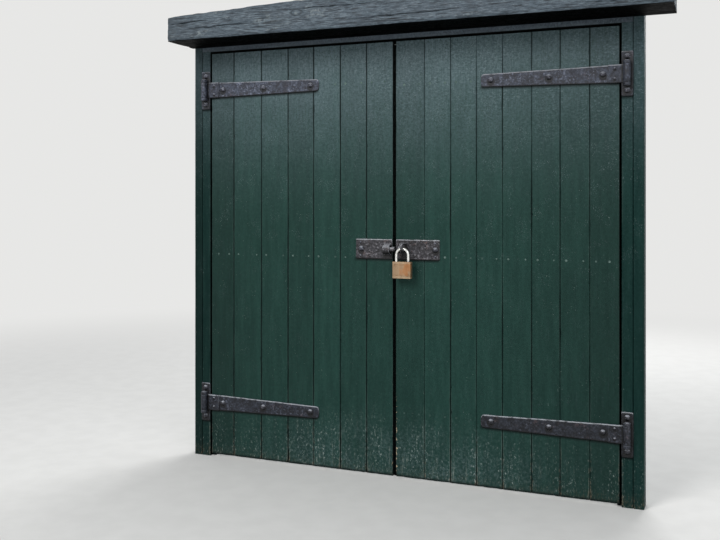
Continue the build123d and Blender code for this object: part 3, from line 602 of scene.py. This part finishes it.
board_paint = painted_timber("board_paint", *BOARD_GREENS, 1, 2.35, "z")
post_paint = painted_timber("post_paint", *POST_GREENS, 1.1, 2.3, "z", 0.07)
head_paint = painted_timber("head_paint", *HEAD_GREYS, 1, 2.6, "x")
beam_paint = lintel_paint("lintel_paint")
gap_shade = gap_shade_material("gap_shade")
rear_paint = rear_timber("rear_paint", (34, 52, 48), (50, 69, 62), (1, 1, 0.06))
rail_paint = rear_timber("rail_paint", *REAR_GREENS, (0.06, 1, 1))
brace_paint = rear_timber("brace_paint", *REAR_GREENS, (0.3, 1, 0.3))
iron = hammered_iron("black_iron", *STRAP_BLACKS, 0.2)
plate_iron = hammered_iron("plate_iron", *PLATE_BLACKS, 0.5)
bolt_iron = hammered_iron("bolt_iron", *BOLT_BLACKS, 0.15, RUBBED_SMOOTH)
rubbed_iron = hammered_iron("rubbed_iron", *RUBBED_BLACKS, 0.2, RUBBED_SMOOTH)
padlock_brass = brass("padlock_brass")
shackle_steel = bright_steel("shackle_steel")
rear_zinc = zinc("rear_zinc")
filler = nail_filler("nail_filler", BOARD_GREENS[1])


# Shadow under the iron, which the boards and posts below share

SHADOW = 0.010
SHADOW_TOP = 0.004
STRAP_RUN = 0.618
STRAP_HALF = (0.038, 0.0275)
STRAP_EDGES = (0.036, 0.030)
PLATE_HALF = 0.093
PLATE_REACH = 0.0235
iron_z = {
    side: [middle_z(f"{side}_{level}_hinge_strap") for level in ("lower", "upper")]
    for side in SIDES
}


def near_edges(z, edges, spread=0.018):
    """Heights along a piece, with close ones added about each edge that casts a shadow."""
    extra = [np.arange(edge - spread, edge + 0.003, 0.0022) for edge in edges]
    inside = [q for q in np.concatenate(extra) if z[2] < q < z[-2]]
    return np.unique(np.concatenate((z, inside)))


def shadow(below, across):
    """How dark it is this far below an edge, where the edge runs across."""
    return np.where(across & (below > -SHADOW_TOP), 1.4 - below / SHADOW, 0)


def under_iron(side, x, z):
    """How dark it is just under the straps and the lock plate, from 0 to 1."""
    run = np.abs(x - PIN_X[side])
    on_strap = (run > 0.02) & (run < STRAP_RUN)
    drop = STRAP_HALF[0] + (STRAP_HALF[1] - STRAP_HALF[0]) * run / STRAP_RUN
    dark = [shadow(centre - drop - z, on_strap) for centre in iron_z[side]]
    low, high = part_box(side + "_lock_plate")
    dark.append(shadow(low.z - z, (x > low.x - 0.001) & (x < high.x + 0.001)))
    return np.clip(np.max(dark, 0), 0, 1)


# Boards

board_lines = {}
for side, count in BOARD_COUNT.items():
    lines = [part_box(f"{side}_board_{i}")[0].x for i in range(1, count + 1)]
    board_lines[side] = lines + [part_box(f"{side}_board_{count}")[1].x]

FACE_STEPS = (0, 0.010, 0.03, 0.08, 0.2, 0.35, 0.5, 0.65, 0.8, 0.92, 0.97, 0.99, 1)
FACE_WEAR = (1.0, 0.6, 0.15, 0, 0, 0, 0, 0, 0, 0, 0.15, 0.6, 1.0)
WORN_FOOT = 0.28
TONGUE_Y = 0.008
REAR_V = 0.0024
FREE_EDGE_V = 0.0002
# How much painted shade darkens each joint, from the left
JOINTS = {
    "left": (1, 0.95, 0.9, 0.9, 0.9, 0.85, 0.9, 1),
    "right": (1, 0.35, 0.75, 0.5, 0.6, 0.7, 0.7, 0.6, 1),
}


def arris(z, foot, seed, at_end):
    """How far a board's front edge is cut back: uneven and chipped, most at the foot."""
    cut = (0.0016 if at_end else 0.0031) + ripple(z, seed, 0.05, 0.0005)
    cut += ripple(z, seed + 40, 0.012, 0.0003) + chips(z, seed + 80, 0.022, 0.86, 0.003)
    return cut + foot * chips(z, seed + 120, 0.012, 0.35, 0.0045)


def joint_gap(z, seed, at_end):
    """A board's share of the gap at a joint, and none at the leaf's own edge."""
    return np.zeros_like(z) if at_end else np.abs(ripple(z, seed, 0.2, 0.0003)) + 0.00035


def board_side(x, inward, cut, gap, rear, thick):
    """X and Y down one side of a board, from its front edge to the V at its rear."""
    near = x + inward * gap
    front = [(near, cut), (near, TONGUE_Y), (x, TONGUE_Y + 0.0001)]
    return front + [(x, thick - rear), (x + inward * rear, thick)]


def board_face(k, q, start, end, foot, seed):
    """Points across a board's face at one height, waved and rough, and ragged at the foot."""
    xs = start + (end - start) * np.array(FACE_STEPS)
    zs = np.full(len(xs), q)
    ys = 0.0006 + rough(xs, zs, seed + 10, 0.045, 0.5, 0.0003)
    ys += rough(xs, zs, seed + 11, 0.006, 0.07, 0.00015)
    ys += foot * rough(xs, zs, seed + 12, 0.01, 0.02, 0.0003)
    if k == 0:
        ys += 0.0012
        zs = zs + np.clip(rough(xs, 0, seed + 13, 0.012, 0.1, 0.002), 0, None)
    elif k == 1:
        ys += 0.0003
    return [(x, max(y, 0.0), z) for x, y, z in zip(xs, ys, zs)]


def board(side, i):
    name = f"{side}_board_{i + 1}"
    low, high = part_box(name)
    x0, x1 = board_lines[side][i : i + 2]
    first, last = i == 0, i == BOARD_COUNT[side] - 1
    seed = 100 * (side == "right") + 7 * i
    lower = np.linspace(low.z, low.z + 0.12, 25)
    z = np.concatenate((lower, np.linspace(low.z + 0.13, high.z, 150)))
    edges = [q - h for q in iron_z[side] for h in STRAP_EDGES]
    z = near_edges(z, edges + [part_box(side + "_lock_plate")[0].z])
    foot = np.clip((low.z + WORN_FOOT - z) / WORN_FOOT, 0, 1)
    cut0, cut1 = arris(z, foot, seed + 1, first), arris(z, foot, seed + 2, last)
    gap0, gap1 = joint_gap(z, seed + 5, first), joint_gap(z, seed + 6, last)
    rear0, rear1 = (FREE_EDGE_V if edge else REAR_V for edge in (first, last))
    rings = []
    for k, q in enumerate(z):
        start, end = x0 + gap0[k] + cut0[k], x1 - gap1[k] - cut1[k]
        sides = board_side(x1, -1, cut1[k], gap1[k], rear1, high.y)
        sides += board_side(x0, 1, cut0[k], gap0[k], rear0, high.y)[::-1]
        face = board_face(k, q, start, end, foot[k], seed)
        rings.append(face + [(x, y, q) for x, y in sides])
    rings = np.array(rings)

    faces = len(FACE_STEPS)
    seg_slots = [0] * faces + [1, 1, 1, 1, 2, 1, 1, 1, 1, 0]
    wear_and_highlight = [*FACE_WEAR] + [0] * 10
    joint_shade = np.zeros((len(z), len(wear_and_highlight)))
    for joint, rim, walls in ((i, 0, slice(-5, None)), (i + 1, faces - 1, slice(faces, -5))):
        own = 900 + 30 * (side == "right") + joint
        dark = np.clip(JOINTS[side][joint] + ripple(z, own, 0.25, 0.3), 0.15, 1.0)
        joint_shade[:, rim], joint_shade[:, walls] = 0.45 * dark, dark[:, None]
    raw = [0] * len(wear_and_highlight)
    if last and side == "left":
        raw[faces - 3 : faces + 1] = [0.1, 0.5, 0.7, 0.7]
    if first and side == "right":
        raw[0:4], raw[-1] = [1.0, 1.0, 0.8, 0.3], 1.0
    shade = under_iron(side, rings[:, :, 0], rings[:, :, 2])
    # Painted shadow along the foot of each board.
    shade[:3] = [[1.0], [0.9], [0.4]]
    tone_and_shade = np.random.default_rng(seed + 3).uniform(-0.6, 0.8)
    values = {"wear_and_highlight": wear_and_highlight, "joint_shade": joint_shade, "raw": raw, "shade": shade, "tone_and_shade": tone_and_shade}
    shape = Shape()
    shape.add(rings, values, 1, seg_slots)
    paints = [board_paint, gap_shade, rear_paint]
    shape.keep(name, paints, side + "_leaf")


for side, count in BOARD_COUNT.items():
    for i in range(count):
        board(side, i)


# Nail heads, filled and painted over, and the bare ones that hold the lock plates

NAIL_INSET = 0.026
NAIL_EDGE_INSET = 0.040
PLATE_NAIL_X = {"left": -0.179, "right": 0.181}
PLATE_NAIL_Z = (-0.030, 0.030)
PLATE_FACE = -0.004
SHANK = [(0.0016, 0.040), (0.0016, 0.001)]
FILLED, BARE = 0, 1


def nail_heads(side):
    lines = board_lines[side]
    last = len(lines) - 2
    spots = []
    for ledge in ("bottom", "middle", "top"):
        z = middle_z(f"{side}_ledge_{ledge}")
        for i, (a, b) in enumerate(zip(lines, lines[1:])):
            spots.append((a + (NAIL_EDGE_INSET if i == 0 else NAIL_INSET), 0.0, z, FILLED))
            spots.append((b - (NAIL_EDGE_INSET if i == last else NAIL_INSET), 0.0, z, FILLED))
    for up in PLATE_NAIL_Z:
        spots.append((PLATE_NAIL_X[side], PLATE_FACE, middle_z(side + "_lock_plate") + up, BARE))
    rng = np.random.default_rng(5 + (side == "right"))
    shape = Shape()
    for *place, kind in spots:
        r = rng.uniform(0.0038, 0.0052) if kind == FILLED else 0.0042
        rise = rng.uniform(0.0002, 0.0005) if kind == FILLED else 0.0014
        profile = [(r * 1.02, 0.0012), (r, -rise * 0.3), (r * 0.75, -rise * 0.8), (r * 0.2, -rise)]
        shape.add(lathe(profile, place, "y", 14)[::-1], {}, kind)
        shape.add(lathe(SHANK, place, "y", 8)[::-1], {}, BARE)
    paints = [filler, bolt_iron]
    shape.keep(side + "_nails", paints, side + "_leaf", side + "_nail_heads")


for side in SIDES:
    nail_heads(side)


# Frame

STOP = 0.020
SEAT_Y = 0.024
BACK_Y = 0.075
EASE_Y = 0.0024
# Painted shade that darkens the left posts.
POST_SHADE = {"left_outer_post": -2.0, "left_hanging_post": -0.8}
FRAME_PAINTS = [post_paint, gap_shade, rear_paint]


def post_face(x0, x1):
    return [(x, 0.0) for x in np.linspace(x0 + 0.0022, x1 - 0.0022, 7)]


def plain_side(x, inward):
    """X and Y down a post's side, from front to back."""
    return [(x + inward * 0.0004, EASE_Y), (x + inward * 0.0004, 0.02), (x, BACK_Y)]


def rebated_side(x, outward):
    """X and Y down a post's side where a leaf shuts against a stop, from front to back."""
    return [(x, EASE_Y), (x, SEAT_Y), (x + outward * STOP, SEAT_Y), (x + outward * STOP, BACK_Y)]


def upright(name, points, seg_slots, wear_and_highlight, joint_shade, seed):
    """A post from its outline in X and Y, with small waves along it."""
    side = name.split("_")[0]
    edges = [q - PLATE_HALF for q in iron_z[side]]
    z = near_edges(np.linspace(0.0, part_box(name)[1].z, 120), edges)
    columns = []
    for n, (x, y) in enumerate(points):
        xs, ys = np.full(len(z), x), np.full(len(z), y)
        if y < 0.01:
            xs = x + 0.6 * ripple(z, seed + n, 0.09, 0.00035)
        if y < 0.003:
            ys = np.maximum(y + rough(x, z, seed + 50, 0.012, 0.05, 0.0003) + 0.0003, 0)
        columns.append(np.stack((xs, ys, z), 1))
    rings = np.stack(columns, 1)
    on_plate = np.abs(rings[:, :, 0] - PIN_X[side]) < PLATE_REACH
    shade = np.max([shadow(edge - rings[:, :, 2], on_plate) for edge in edges], 0)
    values = {"wear_and_highlight": wear_and_highlight, "joint_shade": joint_shade, "shade": np.clip(shade, 0, 1)}
    values["tone_and_shade"] = POST_SHADE.get(name, 0.0)
    shape = Shape()
    shape.add(rings, values, 1, seg_slots)
    shape.keep(name, FRAME_PAINTS, "frame")


def posts(side):
    """The outer post and the one that carries the hinges, with painted shade in the joint between
    the two.
    """
    sign = SIDES[side]
    name = side + "_outer_post"
    low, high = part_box(name)
    points = post_face(low.x, high.x) + plain_side(high.x, -1) + plain_side(low.x, 1)[::-1]
    seg_slots = [1, 1, 2, 0, 0, 0] if side == "left" else [0, 0, 2, 1, 1, 0]
    joint_shade = [1, 1, 1, 0, 0, 0] if side == "left" else [0, 0, 0, 1, 1, 1]
    wear_and_highlight = [0.4, 0.1, 0, 0, 0, 0.1, 0.4] + [0] * 6
    upright(name, points, [0] * 7 + seg_slots, wear_and_highlight, [0] * 7 + joint_shade, 300 + sign)

    name = side + "_hanging_post"
    low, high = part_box(name)
    wear_and_highlight = [0.4, 0.1, 0, 0, 0, 0.3, 0.9]
    joint_shade = [0.9, 1, 1, 0, 1, 1, 1]
    if side == "left":
        x0, x1 = low.x, high.x - STOP
        sides = rebated_side(x1, 1) + plain_side(x0, 1)[::-1]
    else:
        x0, x1 = low.x + STOP, high.x
        sides = plain_side(x1, -1) + rebated_side(x0, -1)[::-1]
        wear_and_highlight, joint_shade = wear_and_highlight[::-1], joint_shade[::-1]
    seg_slots = [0] * 7 + [1, 1, 2, 2, 1, 1, 0]
    points = post_face(x0, x1) + sides
    upright(name, points, seg_slots, wear_and_highlight + [0] * 7, [0] * 7 + joint_shade, 340 + sign)


def head_rail():
    low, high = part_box("head_rail")
    under = high.z - 0.070
    heights = np.linspace(high.z - 0.0022, under + 0.0022, 7)
    rings = []
    for x in np.linspace(low.x, high.x, 160):
        ring = [(x, EASE_Y, under + ripple(x, 411, 0.08, 0.0003)), (x, BACK_Y, under)]
        ring += [(x, BACK_Y, high.z), (x, EASE_Y, high.z)]
        for z in heights:
            ring.append((x, max(0.0004 + rough(x, z, 412, 0.09, 0.01, 0.0003), 0.0), z))
        rings.append(ring)
    wear_and_highlight = [0.4, 0, 0, 0.4, 0.8, 0.2, 0, 0, 0, 0.5, 1.0]
    joint_shade = [0.9, 1] + [0] * 9
    shape = Shape()
    shape.add(rings, {"wear_and_highlight": wear_and_highlight, "joint_shade": joint_shade}, 0, [1, 2] + [0] * 9)
    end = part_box("left_hanging_post")[1].x
    stop = [(SEAT_Y, low.z), (BACK_Y, low.z), (BACK_Y, under + 0.001), (SEAT_Y, under + 0.001)]
    rings = [[(x, y, z) for y, z in stop] for x in np.linspace(end, -end, 30)]
    shape.add(rings, {"joint_shade": [1, 0, 0, 1]}, 1, [2, 2, 1, 1])
    paints = [head_paint, gap_shade, rail_paint]
    shape.keep("head_rail", paints, "frame")


for side in SIDES:
    posts(side)
head_rail()


# Lintel

CRACKS = (
    # start, end, height above the underside, slope, depth, width
    (-0.98, -0.62, 0.052, 0.004, 0.004, 0.0018),
    (-0.50, 0.02, 0.104, -0.006, 0.003, 0.0014),
    (-0.20, 0.36, 0.036, 0.006, 0.004, 0.0018),
    (0.30, 0.85, 0.112, -0.008, 0.004, 0.0016),
    (0.62, 1.19, 0.062, 0.006, 0.006, 0.0020),
    (-1.07, -0.86, 0.080, 0.006, 0.004, 0.0016),
    (0.86, 1.10, 0.026, -0.004, 0.003, 0.0014),
)
KNOT = (-0.40, 0.086)
KNOT_HALF = (0.026, 0.014)
# How high the hewn top stands over the underside, by the distance from the left end
TOP_RUN = (0, 0.503, 1.180)
TOP_RISE = (0.119, 0.141, 0.164, 0.160)


def lintel_cracks(x, up):
    """Depth and darkness of the cracks and the knot at one x, at heights up the face."""
    deep, dark = np.zeros_like(up), np.zeros_like(up)
    for start, stop, height, slope, depth, width in CRACKS:
        share = (x - start) / (stop - start)
        if 0 < share < 1:
            centre = height + slope * share + ripple(x, int(1000 * height), 0.05, 0.0022)
            cut = np.exp(-(((up - centre) / width) ** 2)) * math.sin(math.pi * share) ** 0.5
            deep += depth * cut
            dark = np.maximum(dark, cut)
    away = np.hypot((x - KNOT[0]) / KNOT_HALF[0], (up - KNOT[1]) / KNOT_HALF[1])
    rim = (away - 1.0) ** 2
    deep += 0.003 * np.exp(-rim / 0.12) - 0.002 * np.exp(-(away**2))
    return deep, np.maximum(dark, 0.7 * np.exp(-rim / 0.03))


def lintel():
    low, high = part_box("lintel_beam")
    x0, x1, under, front = low.x, high.x, low.z, low.y
    xs = np.concatenate(([x0], np.linspace(x0 + 0.003, x1 - 0.003, 380), [x1]))
    tops = [x0 + run for run in TOP_RUN] + [x1]
    n_front, n_top, n_back, n_bottom = 54, 22, 10, 22
    t = np.linspace(0, 1, n_front)
    close = np.clip(1 - t / 0.06, 0, 1) + np.clip(1 - np.abs(t - 1.0) / 0.05, 0, 1)
    bottom_y = np.linspace(front + 0.008, high.y, n_bottom)
    top_y = np.linspace(high.y, front + 0.010, n_top)
    rings, cracks, ridges, underside_shade = [], [], [], []
    for k, x in enumerate(xs):
        rise = np.interp(x, tops, TOP_RISE) + ripple(x, 501, 0.11, 0.0025) - 0.003
        end = 0.004 if k in (0, len(xs) - 1) else 0.0
        ease = 0.007 + ripple(x, 502, 0.04, 0.003)
        zf = under + 0.004 + end + (rise - ease * 0.6 - 0.004 - 2 * end) * (1 - t)
        dent = 0.0035 + rough(x, zf, 510, 0.13, 0.05, 0.0022)
        dent += rough(x, zf, 511, 0.05, 0.014, 0.0012) + rough(x, zf, 512, 0.022, 0.006, 0.0007)
        deep, crack = lintel_cracks(x, zf - under)
        dent += deep + ease * 0.5 * close + end
        lift = np.maximum(0.0015 + rough(x, bottom_y, 520, 0.09, 0.05, 0.0012), 0)
        lift[-4:] = 0.0
        sink = 0.003 + rough(x, top_y, 530, 0.1, 0.06, 0.0025)
        ring = [(x, front + d, z) for d, z in zip(np.maximum(dent, 0), zf)]
        ring += [(x, y, under + d) for y, d in zip(bottom_y, lift)]
        ring += [(x, high.y, under + rise * s) for s in np.linspace(0.08, 0.9, n_back)]
        ring += [(x, y, under + rise - d) for y, d in zip(top_y, np.maximum(sink, 0))]
        rings.append(ring)
        ridge = np.clip((0.0045 - dent) / 0.004, 0, 1)
        # Painted shade on the lowest part of the face, and on all of the underside.
        edge_shade = np.clip(1 - (zf - under) / 0.010, 0, 1) * 0.6
        cracks.append([*crack] + [0] * (n_bottom + n_back + n_top))
        ridges.append([*ridge] + [0] * (n_bottom + n_back) + [0.4] * n_top)
        underside_shade.append([*edge_shade] + [1] * n_bottom + [0] * (n_back + n_top))
    shape = Shape()
    shape.add(rings, {"crack": cracks, "ridge": ridges, "under": underside_shade})
    shape.keep("lintel_beam", [beam_paint], "frame", "skin_lintel", 60)


lintel()


# Hinges

PIN_Y = -0.0207
EYE = 0.015
LUG_START = 0.0384
LUG_END = 0.0524
STRAP_BOLTS = (0.098, 0.322, 0.574)
# Painted shadow round each dome head: height, radius, spread and strength
BOLT_MARK = (-0.003, 0.0145, 0.006, 1.0)


def add_at_pin(shape, side, z, rings, values):
    """Add rings made for a strap that runs to +X from its pin at X zero, in place on one side."""
    placed = np.array(rings)
    placed[:, :, 0] = PIN_X[side] - SIDES[side] * placed[:, :, 0]
    placed[:, :, 2] += z
    shape.add(placed, values, flip=side == "right")


def add_barrel(shape, side, z, low, high, ease, worn, dull, seam_shade):
    """Add an upright turned piece round the pin, with eased rims and painted shade where each end
    meets the next piece.
    """
    profile = [
        (EYE - ease, low),
        (EYE - ease * 0.3, low + ease * 0.35),
        (EYE, low + ease),
        (EYE * 1.004, (low + high) / 2),
        (EYE, high - ease),
        (EYE - ease * 0.3, high - ease * 0.35),
        (EYE - ease, high),
    ]
    rings = lathe(profile, (0, PIN_Y, 0), "z")
    wear_and_highlight, shade = np.full(rings.shape[:2], dull), np.zeros(rings.shape[:2])
    wear_and_highlight[[0, -1]], shade[[0, -1]] = worn, seam_shade
    add_at_pin(shape, side, z, rings, {"wear_and_highlight": wear_and_highlight, "shade": shade})


def strap(side, name, seed):
    """The tapering strap, its root leaf over it and the eye that turns on the pin."""
    z = middle_z(name)
    root, tip = STRAP_HALF
    corner = 0.014

    def half(x):
        return root + (tip - root) * x / STRAP_RUN - rounded(x - (STRAP_RUN - corner), corner)

    shape = Shape()
    marks = [(x, *BOLT_MARK) for x in STRAP_BOLTS]
    made = flat_bar(0.0245, STRAP_RUN, half, -0.005, 0.0, 0.0009, seed, 200, 24, 0.0005, marks)
    add_at_pin(shape, side, z, *made)
    # Painted shade on the root leaf beside the eye, and in two small spots further out
    marks = [(0.0, q, 0.021, 0.006, 0.8) for q in np.linspace(-root, root, 9)]
    marks += [(0.050, q, 0.006, 0.004, 0.8) for q in (-0.021, 0.021)]
    leaf = (-0.002, 0.076, lambda x: root, -0.0107, -0.0055, 0.0012)
    add_at_pin(shape, side, z, *flat_bar(*leaf, seed + 4, 30, 28, marks=marks))
    add_barrel(shape, side, z, -root, root, 0.0014, 0.8, 0.2, 0.9)
    shape.keep(name, [iron], side + "_leaf")


def hinge_plate(side, name, seed):
    """The plate on the post, with two lugs round the pin and a web to each."""
    z = middle_z(name)

    def half(x):
        return PLATE_HALF - rounded(abs(x) - 0.019, 0.004)

    shape = Shape()
    # Painted shade round both dome heads, over the plate beside the lugs and at its ends
    marks = [(0.0, q + BOLT_MARK[0], *BOLT_MARK[1:]) for q in (-0.070, 0.070)]
    marks += [(0.0, q, 0.020, 0.008, 0.85) for q in np.linspace(-0.052, 0.052, 12)]
    marks += [(0.0, q, 0.020, 0.020, 0.55) for q in (-0.075, 0.075)]
    made = flat_bar(-0.023, 0.023, half, -0.005, 0.0, 0.0009, seed, 18, 66, marks=marks)
    add_at_pin(shape, side, z, *made)
    for low, high in ((-LUG_END, -LUG_START), (LUG_START, LUG_END)):
        add_barrel(shape, side, z, low, high, 0.0022, 0.7, 0.25, 0.8)
        a, b = low + 0.001, high - 0.001
        web = []
        for y in np.linspace(-0.003, PIN_Y, 8):
            wide = 0.0082 + 0.004 * max(0.0, 1 - abs(y + 0.003) / 0.007)
            web.append([(-wide, y, a), (wide, y, a), (wide, y, b), (-wide, y, b)])
        add_at_pin(shape, side, z, web, {"shade": 0.6})
    shape.keep(name, [iron], "frame")


for side in SIDES:
    for level in ("lower", "upper"):
        own = 20 * (side == "right") + 7 * (level == "upper")
        strap(side, f"{side}_{level}_hinge_strap", 600 + own)
        hinge_plate(side, f"{side}_{level}_hinge_plate", 700 + own)


# Lock plates, with the bolt's guide on the left one and its keep on the right one

LOCK_BOLTS = {"left": -0.175, "right": 0.182}
STAPLE_X = 0.040
GUIDE_X = (-0.060, -0.029)
GUIDE = {"inner": 0.018, "reach": 0.027, "thick": 0.0045, "foot": 0.0045}
KEEP = {"inner": 0.0132, "reach": 0.0255, "thick": 0.0035, "foot": 0.010}


def bolt_loop(x0, x1, seed, inner, reach, thick, foot):
    """Rings and values of a strap bent over the bolt, with two feet, centred on Z zero."""
    outer, seat = inner + thick, PLATE_FACE - 0.0002
    centre, face, foot_end = PLATE_FACE - reach + inner, PLATE_FACE - thick, outer + foot
    angles = np.linspace(-math.pi / 2, math.pi / 2, 25)
    outline = [(seat, -foot_end), (face + 0.0006, -foot_end), (face, -foot_end + 0.001)]
    outline += [(face, -outer - 0.0016), (face - 0.0016, -outer - 0.0002)]
    outline += [(centre - outer * math.cos(t), outer * math.sin(t)) for t in angles]
    outline += [(face - 0.0016, outer + 0.0002), (face, outer + 0.0016), (face, foot_end - 0.001)]
    outline += [(face + 0.0006, foot_end), (seat, foot_end), (seat, inner)]
    outline += [(centre - inner * math.cos(t), inner * math.sin(t)) for t in angles[::-1]]
    outline += [(seat, -inner)]
    y, z = np.array(outline).T
    within = len(angles) + 2
    shade = [0] * (len(outline) - within) + [0.95] * within
    rings, wear_and_highlight = [], []
    xs = [x0, x0 + 0.0006, *np.linspace(x0 + 0.002, x1 - 0.002, 14), x1 - 0.0006, x1]
    for k, x in enumerate(xs):
        ease = 1 - 0.022 * (k in (0, len(xs) - 1))
        dents = np.abs(rough(x, z * 3 + y * 3, seed, 0.009, 0.012, 0.0003))
        out = centre + (y - centre) * ease + dents
        rings.append(np.stack((np.full(len(y), x), out, z * ease), 1))
        wear_and_highlight.append([0.9 if k < 2 or k > len(xs) - 3 else 0.25])
    return np.array(rings)[:, ::-1, :], {"wear_and_highlight": wear_and_highlight, "shade": shade[::-1]}


def lock_plate(side):
    name = side + "_lock_plate"
    low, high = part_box(name)
    up = (0, 0, middle_z(name))
    seed = 800 + 30 * (side == "right")
    corner = 0.003

    def half(x):
        return 0.045 - rounded(corner - min(x - low.x, high.x - x), corner)

    # Painted shade round the dome and the nails, round and under the guide, round the staple's legs
    # and inside the shackle
    marks = [(LOCK_BOLTS[side], *BOLT_MARK)]
    marks += [(PLATE_NAIL_X[side], q, 0.003, 0.003, 0.8) for q in PLATE_NAIL_Z]
    if side == "left":
        marks += [(x, 0.0, 0.016, 0.012, 0.85) for x in (-0.055, -0.045, -0.034, -0.026)]
        marks += [(x, -0.028, 0.008, 0.010, 0.95) for x in (-0.056, -0.044, -0.032, -0.020)]
    else:
        marks += [(STAPLE_X, q, 0.005, 0.005, 0.8) for q in (-0.005, 0.026)]
        marks += [(STAPLE_X, q, 0.018, 0.010, 1.0) for q in (-0.040, -0.028, -0.016)]
        marks += [(STAPLE_X, 0.004, 0.010, 0.010, 0.9)]
    plate = (low.x, high.x, half, PLATE_FACE, 0.0, 0.0008, seed, 90, 36, 0.0005, marks)
    rings, values = flat_bar(*plate)
    shape = Shape()
    shape.add(rings + up, values)
    if side == "left":
        rings, values = bolt_loop(*GUIDE_X, seed + 9, **GUIDE)
        shape.add(rings + up, values)
    shape.keep(name, [plate_iron], side + "_leaf")


def bolt_keep():
    low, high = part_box("bolt_keep")
    rings, values = bolt_loop(low.x, high.x, 839, **KEEP)
    shape = Shape()
    shape.add(rings + (0, 0, middle_z("bolt_keep")), values)
    shape.keep("bolt_keep", [plate_iron], "right_leaf")


for side in SIDES:
    lock_plate(side)
bolt_keep()


# CAD nodes that are shown as they are, with better materials and eased edges


def dress(node, made, bevel=0.0):
    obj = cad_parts[node]
    obj.data.materials.clear()
    obj.data.materials.append(made)
    smooth(obj.data, 35)
    if bevel:
        ease = obj.modifiers.new("ease", "BEVEL")
        ease.width = bevel
        ease.segments = 3
        ease.limit_method = "ANGLE"
        ease.angle_limit = math.radians(50)
        ease.harden_normals = True
    return obj


for side in SIDES:
    for level in ("bottom", "middle", "top"):
        dress(f"{side}_ledge_{level}", rail_paint, 0.002)
    for level in ("lower", "upper"):
        dress(f"{side}_brace_{level}", brace_paint, 0.002)
    dress(side + "_coach_bolts", bolt_iron)
    dress(side + "_strap_rivets", bolt_iron)
    dress(side + "_bolt_nuts", rear_zinc, 0.0006)
dress("hinge_plate_screws", bolt_iron)
dress("hinge_pins", bolt_iron)
dress("lintel_screws", rear_zinc, 0.0005)
dress("slide_bolt", rubbed_iron, 0.0004)
dress("padlock_staple", rubbed_iron)
dress("padlock_shackle", shackle_steel)
dress("padlock_body", padlock_brass, 0.0012)
dress("key_cylinder", padlock_brass)
dress("locking_pins", shackle_steel)

# The cover strip is painted on its rear face only; its other faces carry the near-black painted
# shade of the gaps.
strip = dress("meeting_strip", gap_shade, 0.001)
strip.data.materials.append(rear_paint)
strip.modifiers["ease"].material = 0
rear_y = max(face.center.y for face in strip.data.polygons)
for face in strip.data.polygons:
    face.material_index = int(face.normal.y > 0.9 and face.center.y > rear_y - 0.001)


# Floor, light and camera

BACKDROP = (0.8, 0.8, 0.79, 1)
FLOOR_HALF = 30.0


def plain_floor():
    """A pale floor that goes over into the backdrop with the distance."""
    p = Paint("floor")
    grit = p.step(p.noise(9, 4, 0.5), 0.3, 0.7)
    p.colour = p.mix(grit, (0.70, 0.695, 0.68, 1), (0.73, 0.725, 0.71, 1))
    away = p.new("ShaderNodeVectorMath", (p.place,), operation="LENGTH").outputs["Value"]
    glow = p.new("ShaderNodeEmission", {"Color": BACKDROP}).outputs[0]
    far = p.times((away, 2.2, 7.0), p.seen())
    p.show(p.blend(far, p.shader(0.9, specular=0.1), glow))
    corners = ((-1, -1), (1, -1), (1, 1), (-1, 1))
    mesh = bpy.data.meshes.new("floor")
    mesh.from_pydata([(x * FLOOR_HALF, y * FLOOR_HALF, 0) for x, y in corners], [], [(0, 1, 2, 3)])
    mesh.materials.append(p.material)
    smooth(mesh, 38)
    linked("floor", mesh)


def world_light():
    """Soft light from all round, with the plain backdrop where the world is seen."""
    world = bpy.data.worlds.new("studio")
    bpy.context.scene.world = world
    nodes = Nodes(world)
    soft = nodes.new("ShaderNodeBackground", {"Color": (0.93, 0.97, 1.0, 1), "Strength": 0.45})
    plain = nodes.new("ShaderNodeBackground", {"Color": BACKDROP, "Strength": 1.0})
    sky = nodes.blend(nodes.seen(), soft.outputs[0], plain.outputs[0])
    nodes.show(sky, "ShaderNodeOutputWorld")


def area(name, place, target, size, power, colour=(1, 1, 1)):
    light = bpy.data.lights.new(name, "AREA")
    light.shape = "DISK"
    light.size = size
    light.energy = power
    light.color = colour
    obj = linked(name, light)
    obj.location = place
    x, y, z = np.array(target, float) - np.array(place, float)
    pitch = math.atan2(z, math.hypot(x, y))
    obj.rotation_euler = (math.pi / 2 + pitch, 0, math.atan2(-x, y))


plain_floor()
world_light()
area("key", (-1.6, -5.0, 4.6), (0.0, 0.0, 1.0), 3.0, 240, (1.0, 0.99, 0.98))
area("fill", (4.5, -4.4, 3.2), (0.2, 0.0, 1.0), 5.0, 120, (0.97, 0.98, 1.0))
area("rear", (0.5, 5.0, 4.2), (0.0, 0.0, 1.0), 4.0, 240)

view = bpy.data.cameras.new("camera")
view.sensor_width = 36.0
view.lens = 45.0
view.shift_y = -0.10
view.clip_end = 200.0
camera = linked("camera", view)
camera.location = (1.39835, -3.85298, 1.2792)
camera.rotation_euler = (math.radians(90), 0, math.radians(22.313))
bpy.context.scene.camera = camera
bpy.context.scene.view_settings.view_transform = "Standard"
